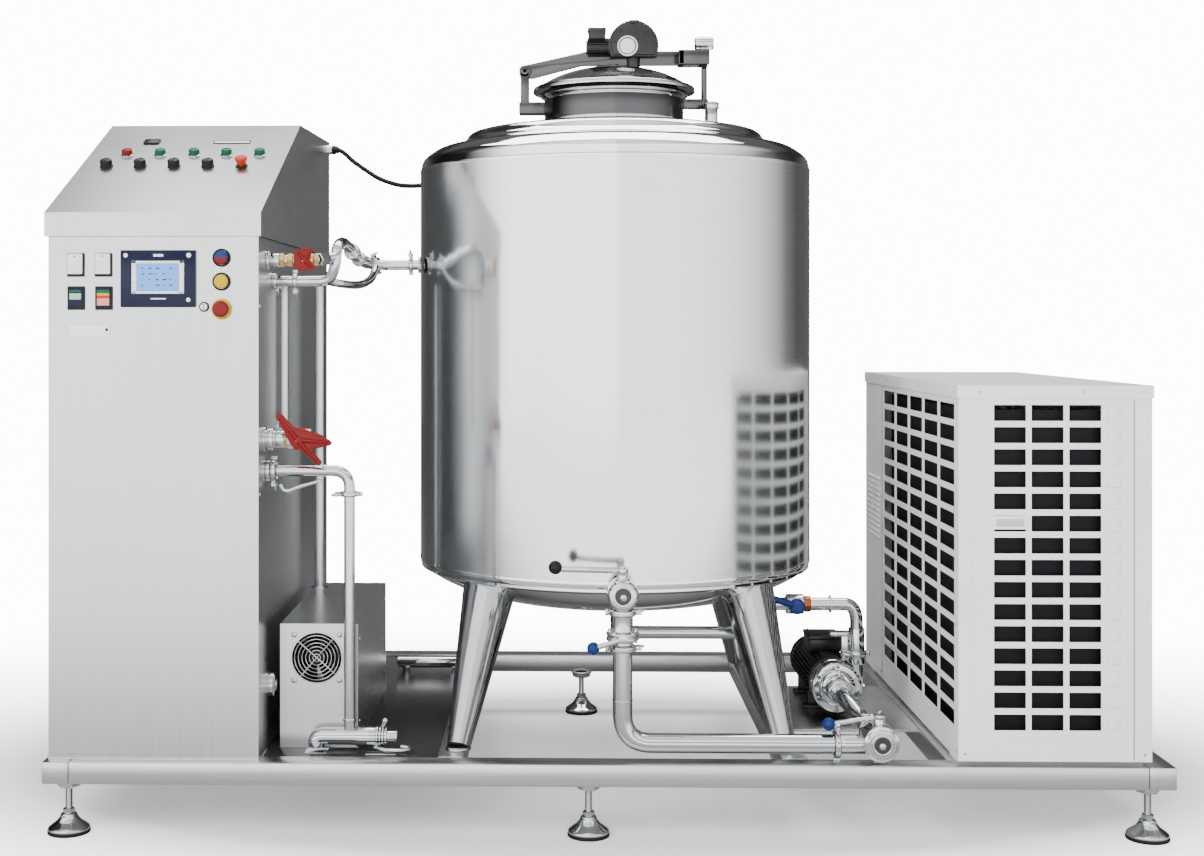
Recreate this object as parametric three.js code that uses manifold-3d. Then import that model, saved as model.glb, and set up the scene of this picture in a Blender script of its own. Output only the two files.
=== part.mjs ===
// Bulk milk tank on a skid: control cabinet, jacketed upright tank and condensing unit.
// Millimetres, +Z up, the operator's side faces -Y. The origin is on the floor under the
// middle of the skid.
import * as THREE from 'three';
import { mergeVertices } from 'three/addons/utils/BufferGeometryUtils.js';
import Module from 'manifold-3d';

const wasm = await Module();
wasm.setup();

// ---------------------------------------------------------------- driving dimensions
const GAP = 0.3;
const SHEET = 3;

const SKID = {
  halfLength: 1250, halfWidth: 625, tube: 60, rail: 50, top: 170, crossRails: [-800, -345, 425, 790],
};
const FOOT = {
  padRadius: 48, padHeight: 45, studRadius: 8, studTop: 152, boreRadius: 9.5, boreTop: 160,
  nutRadius: 27, nutHeight: 14, columns: [-1202, -36, 1202], row: 577,
};
const DECK = { low: 162, high: 165 };

const TANK = {
  x: 40, radius: 500, shellLow: 547, shellHigh: 1530, neckRadius: 178, neckBore: 170,
  neckTop: 1735, flangeRadius: 190, flangeLow: 1725, vesselRadius: 450, sides: 24,
};
const OUTLET = { y: -575, z: 538, boreRadius: 18, tubeRadius: 22, stubEnd: -541 };
const RETURN = { y: -215, z: 385, pumpZ: 456, dropStart: 405, dropEnd: 365, tubeRadius: 16, boreRadius: 13 };
const PUMP_VALVE = { x: 610, z: 213, pipeZ: 206, radius: 40 };
const PUMP = { x: 575, z: 255, front: -240, radius: 62, dischargeX: 626 };
const RETURN_VALVE = { x: 475, gripEnd: [398, 482] };
const LEG = { topX: 310, topY: 300, topZ: 505, topRadius: 62, footX: 372, footY: 500, footRadius: 27 };

const HINGE = { x: -230, z: 1794, eyeRadius: 15, pinRadius: 6, width: 44 };
const ARM = { low: 1809.5, high: 1846.5, halfThickness: 6, slotStart: 180, end: 245, slotHalf: 19, tine: 11 };
const LID = { radius: 209, low: 1738, rimHigh: 1750, top: 1807 };
const BOLT = { x: 233, pivotZ: 1712, rodRadius: 8, top: 1849.5, eyeRadius: 12, handleHalf: 24.5 };
const DRIVE = { x: 50, z: 1859, radius: 65, front: -34, back: 40 };
const AGITATOR = { shaftRadius: 10, low: 506, top: 1728, bladeSpan: 150 };

const CABINET = { left: -1240, right: -770, front: -605, back: 455, low: 170.3, high: 1336 };
const HOOD = { left: -1247, right: -763, front: -614, lipTop: 1389, crestY: -64, crestZ: 1650, backZ: 1665 };
const CONTROLS = { columns: [-1183, -1102, -1021, -940, -859], lowerRow: 270, boreRadius: 8 };

const DRAIN = { x: -580, y: -505, z: 806 };
const MID_VALVE = { x: -690, y: -525, z: 880, reach: 104, bodyRadius: 24, stemEnd: -552 };
const INLET_VALVE = { x: -680, y: -500, z: 1287, bodyRadius: 17, stemEnd: -523 };
const INLET_WINGS = [[-24, 16], [-12, 25], [22, 27], [12, 0], [28, -20], [10, -24], [-10, -26], [-24, -14]];
const MID_WINGS = [
  [-52, 57], [-38, 60], [-8, 28], [22, 22], [52, 12], [78, -4], [76, -12], [40, -20], [30, -22], [56, -50],
  [48, -60], [20, -34], [4, -22], [-14, -14], [-26, 8],
];
const BUTTONS = [
  { x: -852, z: 1288, radius: 16, bore: 9, height: 13 },
  { x: -852, z: 1235, radius: 16, bore: 9, height: 13 },
  { x: -852, z: 1174, bore: 8 },
  { x: -891, z: 1179, bore: 6 },
];
const BLADE_PITCH = 0.7;
const CHILLER_FAN = { x: 1000, y: -480, z: 590 };
const FANBOX = {
  left: -745, right: -565, front: -470, back: 130, high: 450, fanX: -660, fanZ: 372, fanRadius: 57,
};
const CHILLER = { left: 775, right: 1197, front: -620, back: 450, low: 181, high: 1006, skirt: 28 };
const GRILLE = { rows: 15, rowPitch: 48.5, openingHigh: 35, firstRow: 249 };

// ---------------------------------------------------------------- materials
function finish(color, roughness, metalness) {
  return new THREE.MeshStandardMaterial({ color, roughness, metalness });
}

const brushedSteel = finish(0xb9bcbd, 0.38, 1);
const polishedSteel = finish(0xd2d5d6, 0.12, 1);
const chrome = finish(0xe0e2e4, 0.08, 1);
const darkSheet = finish(0x4a4d50, 0.5, 0.8);
const greyPaint = finish(0xb4b8ba, 0.55, 0.1);
const blackPaint = finish(0x1d1e20, 0.6, 0.1);
const blackPlastic = finish(0x141416, 0.45, 0);
const rubber = finish(0x161616, 0.85, 0);
const foam = finish(0xe6d9a8, 0.9, 0);
const redPlastic = finish(0xc4281c, 0.4, 0);
const yellowPlastic = finish(0xf0c420, 0.4, 0);
const bluePlastic = finish(0x1f56b4, 0.35, 0);
const whitePlastic = finish(0xf0f0ec, 0.4, 0);
const castAluminium = finish(0x9fa3a6, 0.45, 0.9);
const copperFins = finish(0x2b2d2f, 0.6, 0.6);

// ---------------------------------------------------------------- solid helpers
function solid(geometry) {
  const bare = geometry.index ? geometry.toNonIndexed() : geometry.clone();
  bare.deleteAttribute('normal');
  bare.deleteAttribute('uv');
  const merged = mergeVertices(bare, 1e-4);
  const corners = merged.index.array;
  const triangles = [];
  for (let i = 0; i < corners.length; i += 3) {
    const [a, b, c] = [corners[i], corners[i + 1], corners[i + 2]];
    if (a !== b && b !== c && c !== a) triangles.push(a, b, c);
  }
  const vertProperties = new Float32Array(merged.attributes.position.array);
  const triVerts = new Uint32Array(triangles);
  return new wasm.Manifold(new wasm.Mesh({ numProp: 3, vertProperties, triVerts }));
}

function surface(body) {
  const { vertProperties, triVerts } = body.getMesh();
  const geometry = new THREE.BufferGeometry();
  geometry.setAttribute('position', new THREE.BufferAttribute(new Float32Array(vertProperties), 3));
  geometry.setIndex(new THREE.BufferAttribute(new Uint32Array(triVerts), 1));
  return geometry;
}

function join(...pieces) {
  return surface(pieces.map(solid).reduce((sum, piece) => sum.add(piece)));
}

function cut(body, ...tools) {
  return surface(tools.map(solid).reduce((rest, tool) => rest.subtract(tool), solid(body)));
}

function block([x0, x1], [y0, y1], [z0, z1]) {
  const geometry = new THREE.BoxGeometry(x1 - x0, y1 - y0, z1 - z0);
  return geometry.translate((x0 + x1) / 2, (y0 + y1) / 2, (z0 + z1) / 2);
}

function rod(start, end, radius, endRadius = radius, sides = 12) {
  const from = new THREE.Vector3(...start);
  const to = new THREE.Vector3(...end);
  const along = to.clone().sub(from);
  const geometry = new THREE.CylinderGeometry(endRadius, radius, along.length(), sides);
  const up = new THREE.Vector3(0, 1, 0);
  geometry.applyQuaternion(new THREE.Quaternion().setFromUnitVectors(up, along.clone().normalize()));
  const middle = from.add(to).multiplyScalar(0.5);
  return geometry.translate(middle.x, middle.y, middle.z);
}

function ball(centre, radius, sides = 8) {
  return new THREE.SphereGeometry(radius, sides, sides / 2).translate(...centre);
}

// A profile of [radius, height] points turned about Z; it ends on the axis or closes on itself.
function turned(profile, sides = 16) {
  const points = profile.map(([radius, height]) => new THREE.Vector2(radius, height));
  if (THREE.ShapeUtils.area(points) < 0) points.reverse();
  return new THREE.LatheGeometry(points, sides).rotateX(Math.PI / 2);
}

function ring(inner, outer, low, high, sides = 16) {
  return turned([[inner, low], [outer, low], [outer, high], [inner, high], [inner, low]], sides);
}

function tubeAlong(curve, radius, steps, sides = 8) {
  const section = new THREE.Shape().absarc(0, 0, radius, 0, 2 * Math.PI, false);
  const options = { steps, curveSegments: sides / 2, bevelEnabled: false, extrudePath: curve };
  return new THREE.ExtrudeGeometry(section, options);
}

function spline(points) {
  return new THREE.CatmullRomCurve3(points.map((point) => new THREE.Vector3(...point)), false, 'centripetal');
}

// Straight runs joined by rounded corners, as a bent pipe is made.
function bentRun(points, bend) {
  const corners = points.map((point) => new THREE.Vector3(...point));
  const path = new THREE.CurvePath();
  let start = corners[0];
  for (let i = 1; i < corners.length - 1; i += 1) {
    const before = corners[i].clone().sub(start).setLength(bend);
    const after = corners[i + 1].clone().sub(corners[i]).setLength(bend);
    const enter = corners[i].clone().sub(before);
    const leave = corners[i].clone().add(after);
    path.add(new THREE.LineCurve3(start, enter));
    path.add(new THREE.QuadraticBezierCurve3(enter, corners[i], leave));
    start = leave;
  }
  path.add(new THREE.LineCurve3(start, corners[corners.length - 1]));
  return path;
}

// An outline in Y and Z, extruded along X between two planes.
function sideExtrusion(outline, left, right) {
  const shape = new THREE.Shape(outline.map(([y, z]) => new THREE.Vector2(y, z)));
  const geometry = new THREE.ExtrudeGeometry(shape, { depth: right - left, bevelEnabled: false });
  const turn = new THREE.Matrix4().set(0, 0, 1, left, 1, 0, 0, 0, 0, 1, 0, 0, 0, 0, 0, 1);
  return geometry.applyMatrix4(turn);
}

// ---------------------------------------------------------------- assembly
const machine = new THREE.Group();
machine.name = 'bulk_milk_tank';

function group(parent, x = 0, y = 0, z = 0) {
  const made = new THREE.Group();
  made.position.set(x, y, z);
  parent.add(made);
  return made;
}

function piece(parent, name, geometry, material) {
  const mesh = new THREE.Mesh(geometry, material);
  mesh.name = name;
  parent.add(mesh);
}

// ---------------------------------------------------------------- skid and feet
function footNut(x, y) {
  const under = SKID.top - SKID.rail;
  return rod([x, y, under - FOOT.nutHeight], [x, y, under + 1], FOOT.nutRadius, 22, 8);
}

function footBore(x, y) {
  return rod([x, y, 0], [x, y, FOOT.boreTop], FOOT.boreRadius, FOOT.boreRadius, 8);
}

function baseFrame() {
  const { halfLength, halfWidth, tube, rail, top, crossRails } = SKID;
  const height = [top - rail, top];
  const rails = [
    block([-halfLength, halfLength], [-halfWidth, tube - halfWidth], height),
    block([-halfLength, halfLength], [halfWidth - tube, halfWidth], height),
    block([-halfLength, tube - halfLength], [-halfWidth, halfWidth], height),
    block([halfLength - tube, halfLength], [-halfWidth, halfWidth], height),
  ];
  for (const x of crossRails) {
    rails.push(block([x - tube / 2, x + tube / 2], [1 - halfWidth, halfWidth - 1], height));
  }
  const pumpPlate = block([crossRails[2], crossRails[3]], [-300, 170], [top - 6, top]);
  const spots = FOOT.columns.flatMap((x) => [[x, -FOOT.row], [x, FOOT.row]]);
  const nuts = spots.map(([x, y]) => footNut(x, y));
  const bores = spots.map(([x, y]) => footBore(x, y));
  return cut(join(...rails, pumpPlate, ...nuts), ...bores);
}

function levellingFoot() {
  const { padRadius, padHeight, studRadius, studTop } = FOOT;
  const outline = [
    [0, 0], [padRadius, 0], [padRadius, 10], [padRadius - 24, 34], [16, padHeight],
    [studRadius, padHeight], [studRadius, studTop], [0, studTop],
  ];
  return turned(outline, 10);
}

function buildSkid() {
  const skid = group(machine);
  piece(skid, 'base_frame', baseFrame(), brushedSteel);
  const [left, right] = [SKID.crossRails[0] + SKID.tube / 2, SKID.crossRails[1] - SKID.tube / 2];
  const reach = SKID.halfWidth - SKID.tube - GAP;
  const plate = block([left + GAP, right - GAP], [-reach, reach], [DECK.low, DECK.high]);
  piece(skid, 'deck_plate', plate, darkSheet);
  const sides = [['front', -FOOT.row], ['rear', FOOT.row]];
  const columns = [['left', FOOT.columns[0]], ['middle', FOOT.columns[1]], ['right', FOOT.columns[2]]];
  for (const [side, y] of sides) {
    for (const [column, x] of columns) {
      piece(group(skid, x, y), `foot_${side}_${column}`, levellingFoot(), rubber);
    }
  }
}

// ---------------------------------------------------------------- tank
// Outer profile of the jacket, from the bottom opening to the neck; offset inwards gives its layers.
function jacketLine(inset) {
  const r = TANK.radius - inset;
  const [bottom, top] = [TANK.shellLow, TANK.shellHigh];
  return [
    [60, 432 + inset], [300, 453 + inset], [424 - inset * 0.4, 489 + inset * 0.9], [r, bottom], [r, top],
    [455 - inset * 0.8, top + 56 - inset * 0.7], [376 - inset * 0.5, 1612 - inset],
    [TANK.neckRadius + GAP, 1662 - inset],
  ];
}

function tankLayer(outerInset, innerInset) {
  const outer = jacketLine(outerInset);
  const inner = jacketLine(innerInset).reverse();
  return turned([...outer, ...inner, outer[0]], TANK.sides);
}

// The full tank shape grown or shrunk by an inset, used to trim what meets the jacket.
function tankEnvelope(inset = -GAP) {
  const line = jacketLine(inset);
  return turned([[0, line[0][1]], ...line, [0, line.at(-1)[1]]], TANK.sides);
}

function outletBore(radius) {
  return rod([0, -380, OUTLET.z], [0, -560, OUTLET.z], radius);
}

function returnBore(radius) {
  return rod([0, RETURN.y, 400], [0, RETURN.y, 520], radius, radius, 12);
}

function outerJacket() {
  const ventStub = rod([245, -70, 1600], [245, -70, 1705], 19.5);
  const angle = Math.PI * 0.825;
  const [dirX, dirY] = [Math.cos(angle), Math.sin(angle)];
  const gland = rod([dirX * 490, dirY * 490, 1533], [dirX * 532, dirY * 532, 1533], 15, 11, 12);
  const skin = tankLayer(0, SHEET);
  const solidParts = join(skin, cut(ventStub, tankEnvelope(2)), cut(gland, tankEnvelope(2)));
  return cut(solidParts, outletBore(OUTLET.tubeRadius + GAP), returnBore(RETURN.tubeRadius + GAP));
}

function insulationLayer() {
  const layer = tankLayer(SHEET + GAP, TANK.radius - TANK.vesselRadius - GAP);
  return cut(layer, outletBore(OUTLET.tubeRadius + GAP), returnBore(RETURN.tubeRadius + GAP));
}

// Inner vessel, neck and flange in one welded shell, with its hinge bracket and clamp lug.
function innerVessel() {
  const inset = TANK.radius - TANK.vesselRadius;
  const wall = 4;
  const outer = jacketLine(inset);
  const inner = jacketLine(inset + wall);
  const outerNeck = [
    [TANK.neckRadius, outer.at(-1)[1]], [TANK.neckRadius, TANK.flangeLow],
    [TANK.flangeRadius, TANK.flangeLow],
    [TANK.flangeRadius, TANK.neckTop], [TANK.neckBore, TANK.neckTop], [TANK.neckBore, inner.at(-1)[1]],
  ];
  const profile = [
    [0, outer[0][1]], ...outer.slice(0, -1), ...outerNeck, ...inner.slice(0, -1).reverse(), [0, inner[0][1]],
  ];
  const shell = turned(profile, TANK.sides);
  const outletTube = rod([0, -400, OUTLET.z], [0, OUTLET.stubEnd, OUTLET.z], OUTLET.tubeRadius);
  const returnEnds = [405, inner[1][1] - 8].map((z) => [0, RETURN.y, z]);
  const returnTube = rod(...returnEnds, RETURN.tubeRadius, RETURN.tubeRadius, 12);
  const bearing = rod([DRIVE.x, 0, inner[0][1] - 2], [DRIVE.x, 0, AGITATOR.low - 4], 22, 18);
  const bearingPin = rod([DRIVE.x, 0, inner[0][1] - 2], [DRIVE.x, 0, AGITATOR.low + 16], 5, 5, 12);
  const welded = join(shell, outletTube, returnTube, bearing, bearingPin, hingeBracket(), clampLug());
  const outletHole = rod([0, -380, OUTLET.z], [0, -560, OUTLET.z], OUTLET.boreRadius);
  const returnHole = rod([0, RETURN.y, 400], [0, RETURN.y, 530], RETURN.boreRadius, RETURN.boreRadius, 12);
  return cut(welded, outletHole, returnHole);
}

function hingeBracket() {
  const half = HINGE.width / 2;
  const web = block([HINGE.x - 15, -175], [-half, half], [1684, 1714]);
  const cheeks = [-1, 1].map((side) => {
    const faces = side < 0 ? [-half, -half + 12] : [half - 12, half];
    const post = block([HINGE.x - 12, HINGE.x + 12], faces, [1700, HINGE.z]);
    const eye = rod([HINGE.x, faces[0], HINGE.z], [HINGE.x, faces[1], HINGE.z], HINGE.eyeRadius);
    return join(post, eye);
  });
  const pinEnds = [-half - 4, half + 4].map((y) => [HINGE.x, y, HINGE.z]);
  const pin = rod(...pinEnds, HINGE.pinRadius, HINGE.pinRadius, 12);
  return join(web, ...cheeks, pin);
}

function clampLug() {
  const ears = [[-15, -8.5], [8.5, 15]].map((faces) => block([172, BOLT.x + 12], faces, [1698, 1722]));
  const pin = rod([BOLT.x, -17, BOLT.pivotZ], [BOLT.x, 17, BOLT.pivotZ], 4, 4, 10);
  return join(...ears, pin);
}

function tankLeg(sideX, sideY) {
  const foot = [sideX * LEG.footX, sideY * LEG.footY, SKID.top + GAP];
  const base = [foot[0], foot[1], SKID.top + GAP + 8];
  const head = [sideX * LEG.topX, sideY * LEG.topY, LEG.topZ + 60];
  const leg = join(rod(base, head, LEG.footRadius, LEG.topRadius, 14), rod(foot, base, 30, 30, 14));
  const floor = block([-900, 900], [-900, 900], [0, SKID.top + GAP]);
  return cut(leg, tankEnvelope(), floor);
}

// ---------------------------------------------------------------- manway lid, arm and clamp
function manwayLid() {
  const { radius, low, rimHigh, top } = LID;
  const outside = [
    [radius, low], [radius, rimHigh], [190, rimHigh + 6], [140, 1782], [80, 1799], [30, top - 1],
  ];
  const inside = [[30, top - 5], [80, 1794], [140, 1777], [168, 1760], [168, low]];
  const shell = turned([...outside, [0, top], [0, top - 4], ...inside, [radius, low]], 24);
  return cut(shell, rod([DRIVE.x, 0, 1700], [DRIVE.x, 0, 1850], 13));
}

function lidArm() {
  const { low, high, halfThickness, slotStart, end, slotHalf, tine } = ARM;
  const bar = sideExtrusionAcross([
    [HINGE.x - 14, HINGE.z - 10], [HINGE.x + 18, HINGE.z - 18], [-82, low], [slotStart, low],
    [slotStart, high], [-70, high], [HINGE.x - 6, HINGE.z + 16],
  ], -halfThickness, halfThickness);
  const barrel = rod([HINGE.x, -9.5, HINGE.z], [HINGE.x, 9.5, HINGE.z], HINGE.eyeRadius - 1);
  const reach = slotHalf + tine;
  const crossbar = block([slotStart - 14, slotStart], [-reach, reach], [low, high]);
  const tineSides = [[-reach, -slotHalf], [slotHalf, reach]];
  const tines = tineSides.map((faces) => block([slotStart - 14, end], faces, [low, high]));
  const post = rod([0, 0, LID.top + GAP], [0, 0, low + 4], 12.5);
  const eyeRadius = HINGE.pinRadius + GAP;
  const eyeHole = rod([HINGE.x, -20, HINGE.z], [HINGE.x, 20, HINGE.z], eyeRadius, eyeRadius, 12);
  return cut(join(bar, barrel, crossbar, ...tines, post), eyeHole);
}

// An outline in X and Z, extruded along Y between two planes.
function sideExtrusionAcross(outline, front, back) {
  const shape = new THREE.Shape(outline.map(([x, z]) => new THREE.Vector2(x, z)));
  const geometry = new THREE.ExtrudeGeometry(shape, { depth: back - front, bevelEnabled: false });
  return geometry.rotateX(Math.PI / 2).translate(0, back, 0);
}

function swingBolt() {
  const { x, pivotZ, rodRadius, top, eyeRadius } = BOLT;
  const eye = rod([x, -8, pivotZ], [x, 8, pivotZ], eyeRadius);
  const shank = rod([x, 0, pivotZ], [x, 0, top + 9], rodRadius, rodRadius, 12);
  const hole = rod([x, -12, pivotZ], [x, 12, pivotZ], 4 + GAP, 4 + GAP, 10);
  return cut(join(eye, shank), hole);
}

function tHandle() {
  const bar = rod([BOLT.x - BOLT.handleHalf, 0, 1867], [BOLT.x + BOLT.handleHalf, 0, 1867], 17);
  return cut(bar, rod([BOLT.x, 0, 1840], [BOLT.x, 0, BOLT.top + 9 + GAP], BOLT.rodRadius + GAP));
}

function agitatorDrive() {
  const { x, z, radius, front, back } = DRIVE;
  const housing = rod([x, front, z], [x, back, z], radius, radius, 18);
  const cap = rod([x, front - 7, z], [x, front + 2, z], 24);
  const motor = rod([x - radius + 4, 0, z - 2], [-72, 0, z - 2], 24.5, 24.5, 12);
  const terminalBox = block([-66, -22], [-22, 22], [z + 17, z + 47]);
  const skirt = rod([x, 0, 1796], [x + 20, 0, 1830], 52, 40, 16);
  const armRoom = block([-400, ARM.slotStart], [-ARM.halfThickness - GAP, ARM.halfThickness + GAP], [
    ARM.low - GAP, ARM.high + GAP,
  ]);
  const postRoom = rod([0, 0, 1790], [0, 0, ARM.low + 5], 12.5 + GAP);
  const overLid = [
    [0, 1700], [209, 1700], [209, 1752], [190, 1757], [140, 1783], [80, 1800], [30, 1807], [0, 1808],
  ];
  const saddle = cut(join(housing, cap, motor, terminalBox, skirt), armRoom, postRoom, turned(overLid, 24));
  const shaft = rod([x, 0, 1741], [x, 0, ARM.low - GAP], 12);
  const crown = rod([x, 0, 1730], [x, 0, 1745], 20);
  return join(saddle, shaft, crown);
}

function agitator() {
  const { shaftRadius, low, top, bladeSpan } = AGITATOR;
  const shaft = rod([0, 0, low], [0, 0, top], shaftRadius);
  const hub = rod([0, 0, top - 16], [0, 0, top], 20);
  const socket = rod([0, 0, low - 1], [0, 0, low + 18], 5 + GAP, 5 + GAP, 12);
  const tilt = Math.PI / 4;
  const blades = [[560, 0], [980, Math.PI / 2]].map(([height, heading]) => {
    const plate = new THREE.BoxGeometry(2 * bladeSpan, 4, 80).rotateX(tilt);
    return plate.rotateZ(heading).translate(0, 0, height);
  });
  return cut(join(shaft, hub, ...blades), socket);
}

function buildTank() {
  const tank = group(machine, TANK.x);
  piece(tank, 'outer_jacket', outerJacket(), brushedSteel);
  piece(tank, 'insulation', insulationLayer(), foam);
  piece(tank, 'inner_vessel', innerVessel(), polishedSteel);
  const corners = [
    ['front_left', -1, -1], ['front_right', 1, -1], ['rear_left', -1, 1], ['rear_right', 1, 1],
  ];
  for (const [corner, sideX, sideY] of corners) {
    piece(tank, `tank_leg_${corner}`, tankLeg(sideX, sideY), polishedSteel);
  }
  const seal = ring(TANK.neckBore + 3, TANK.flangeRadius - 2, TANK.neckTop + GAP, LID.low - GAP, 24);
  piece(tank, 'lid_seal', seal, rubber);
  piece(tank, 'manway_lid', manwayLid(), polishedSteel);
  piece(tank, 'lid_arm', lidArm(), brushedSteel);
  piece(tank, 'swing_bolt', swingBolt(), polishedSteel);
  piece(tank, 't_handle', tHandle(), polishedSteel);
  piece(tank, 'agitator_drive', agitatorDrive(), castAluminium);
  piece(group(tank, DRIVE.x), 'agitator', agitator(), polishedSteel);
}

// ---------------------------------------------------------------- outlet line, pump and return line
function clampJoint(start, end) {
  return rod(start, end, 32, 32, 16);
}

// A flat lever from its stem towards the left, drooping to a ball grip.
function ballLever(stem, grip, gripRadius, width, thickness) {
  const along = new THREE.Vector3(...grip).sub(new THREE.Vector3(...stem));
  const bar = new THREE.BoxGeometry(along.length(), width, thickness).translate(along.length() / 2, 0, 0);
  const lengthways = new THREE.Vector3(1, 0, 0);
  const turn = new THREE.Quaternion().setFromUnitVectors(lengthways, along.clone().normalize());
  bar.applyQuaternion(turn).translate(...stem);
  return join(bar, ball(grip, gripRadius));
}

function outletValve() {
  const { y, z, stubEnd, boreRadius } = OUTLET;
  const body = rod([0, stubEnd - GAP, z], [0, -611, z], 35, 35, 18);
  const neck = rod([0, y, z], [0, y, 499], OUTLET.tubeRadius);
  const stem = rod([0, y, z + 20], [0, y, 584], 11, 9, 12);
  const joint = clampJoint([0, y, 506], [0, y, 497]);
  const bores = [
    rod([0, stubEnd + 5, z], [0, y, z], boreRadius),
    rod([0, y, z], [0, y, 480], boreRadius),
  ];
  return cut(join(body, neck, stem, joint), ...bores);
}

function outletLever() {
  const { y } = OUTLET;
  const hub = rod([0, y, 584 + GAP], [0, y, 596], 13, 13, 16);
  const lever = ballLever([0, y, 591], [-112, y, 597], 16, 16, 5);
  return join(hub, lever);
}

function butterflyValve() {
  const { y, boreRadius } = OUTLET;
  const body = ring(boreRadius, 32, 418, 496.7).translate(0, y, 0);
  const collar = ring(26, 37, 424, 466).translate(0, y, 0);
  const stem = rod([0, y - 24, 445], [0, -612, 445], 7, 7, 12);
  return join(body, collar, stem);
}

function butterflyLever() {
  const hub = rod([0, -612 - GAP, 445], [0, -622, 445], 11);
  return join(hub, ballLever([0, -619, 445], [-65, -614.4, 424], 10.5, 5, 14));
}

function outletPipe() {
  const { y } = OUTLET;
  const [left, right] = [TANK.x, PUMP_VALVE.x - 94];
  const run = bentRun([[left, y, 417.7], [left, y, PUMP_VALVE.pipeZ], [right, y, PUMP_VALVE.pipeZ]], 65);
  const tube = tubeAlong(run, OUTLET.tubeRadius, 14);
  const ends = [
    clampJoint([left, y, 417.7], [left, y, 407]),
    clampJoint([right, y, PUMP_VALVE.pipeZ], [right - 10, y, PUMP_VALVE.pipeZ]),
  ];
  return join(tube, ...ends);
}

function pumpValve() {
  const { x, z, pipeZ, radius } = PUMP_VALVE;
  const start = x - 94 + GAP;
  const body = rod([x, -615, z], [x, -535, z], radius, radius, 18);
  const inlet = rod([start, OUTLET.y, pipeZ], [x, OUTLET.y, pipeZ], OUTLET.tubeRadius);
  const joint = clampJoint([start, OUTLET.y, pipeZ], [start + 10, OUTLET.y, pipeZ]);
  const stem = rod([x, OUTLET.y, z + 20], [x, OUTLET.y, z + 50], 8, 8, 12);
  const suction = bentRun([
    [x, -540, z], [x, -420, z], [PUMP.x, -340, PUMP.z], [PUMP.x, PUMP.front - 46, PUMP.z],
  ], 40);
  return join(body, inlet, joint, stem, tubeAlong(suction, 20, 12));
}

function pumpValveLever() {
  const { x, z } = PUMP_VALVE;
  const top = z + 50 + GAP;
  const hub = rod([x, OUTLET.y, top], [x, OUTLET.y, top + 9], 12);
  return join(hub, ballLever([x, OUTLET.y, top + 5], [x - 112, OUTLET.y, z + 36], 13, 14, 5));
}

function milkPump() {
  const { x, z, front, radius, dischargeX } = PUMP;
  const casing = rod([x, front, z], [x, front + 52, z], radius, radius, 24);
  const cover = rod([x, front - 14, z], [x, front + 2, z], radius - 14, radius - 14, 16);
  const inlet = rod([x, front - 46 + GAP, z], [x, front, z], 24);
  const discharge = bentRun([
    [dischargeX, RETURN.y, z], [dischargeX, RETURN.y, RETURN.pumpZ],
    [dischargeX - 62, RETURN.y, RETURN.pumpZ],
  ], 45);
  return join(casing, cover, inlet, tubeAlong(discharge, RETURN.tubeRadius, 10));
}

function pumpMotor() {
  const { x, z, front } = PUMP;
  const start = front + 52 + GAP;
  const lantern = rod([x, start, z], [x, start + 40, z], 55, 50);
  const body = rod([x, start + 38, z], [x, 150, z], 62, 62, 18);
  const terminalBox = block([x - 40, x + 40], [-60, 40], [z + 50, z + 92]);
  const foot = block([x - 58, x + 58], [-90, 110], [SKID.top + GAP, z - 40]);
  return join(lantern, body, terminalBox, foot);
}

function returnPipe() {
  const { y, z, pumpZ, dropStart, dropEnd, tubeRadius } = RETURN;
  const right = PUMP.dischargeX - 62 - GAP;
  const upper = bentRun([
    [right, y, pumpZ], [dropStart, y, pumpZ], [dropEnd, y, z], [TANK.x + 120, y, z],
  ], 24);
  const lower = bentRun([[TANK.x + 125, y, z], [TANK.x, y, z], [TANK.x, y, 405 - GAP]], 17);
  const { x } = RETURN_VALVE;
  const body = rod([x - 22, y, pumpZ], [x + 22, y, pumpZ], 25, 25, 16);
  const stem = rod([x, y, pumpZ], [x, y - 34, pumpZ], 8);
  return join(tubeAlong(upper, tubeRadius, 16), tubeAlong(lower, tubeRadius, 8), body, stem);
}

function returnLever() {
  const { x, gripEnd } = RETURN_VALVE;
  const face = RETURN.y - 34 - GAP;
  const hub = rod([x, face, RETURN.pumpZ], [x, face - 14, RETURN.pumpZ], 20, 18);
  const grip = rod([x - 8, face - 8, RETURN.pumpZ + 4], [gripEnd[0], face - 8, gripEnd[1]], 9, 7);
  return join(hub, grip);
}

function buildLines() {
  const lines = group(machine);
  const atTank = group(lines, TANK.x);
  piece(atTank, 'outlet_valve', outletValve(), polishedSteel);
  piece(atTank, 'outlet_lever', outletLever(), blackPlastic);
  piece(atTank, 'butterfly_valve', butterflyValve(), polishedSteel);
  piece(atTank, 'butterfly_lever', butterflyLever(), bluePlastic);
  piece(lines, 'outlet_pipe', outletPipe(), polishedSteel);
  piece(lines, 'pump_valve', pumpValve(), polishedSteel);
  piece(lines, 'pump_valve_lever', pumpValveLever(), bluePlastic);
  piece(lines, 'milk_pump', milkPump(), polishedSteel);
  piece(lines, 'pump_motor', pumpMotor(), brushedSteel);
  piece(lines, 'return_pipe', returnPipe(), polishedSteel);
  piece(lines, 'return_lever', returnLever(), bluePlastic);
}

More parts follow.
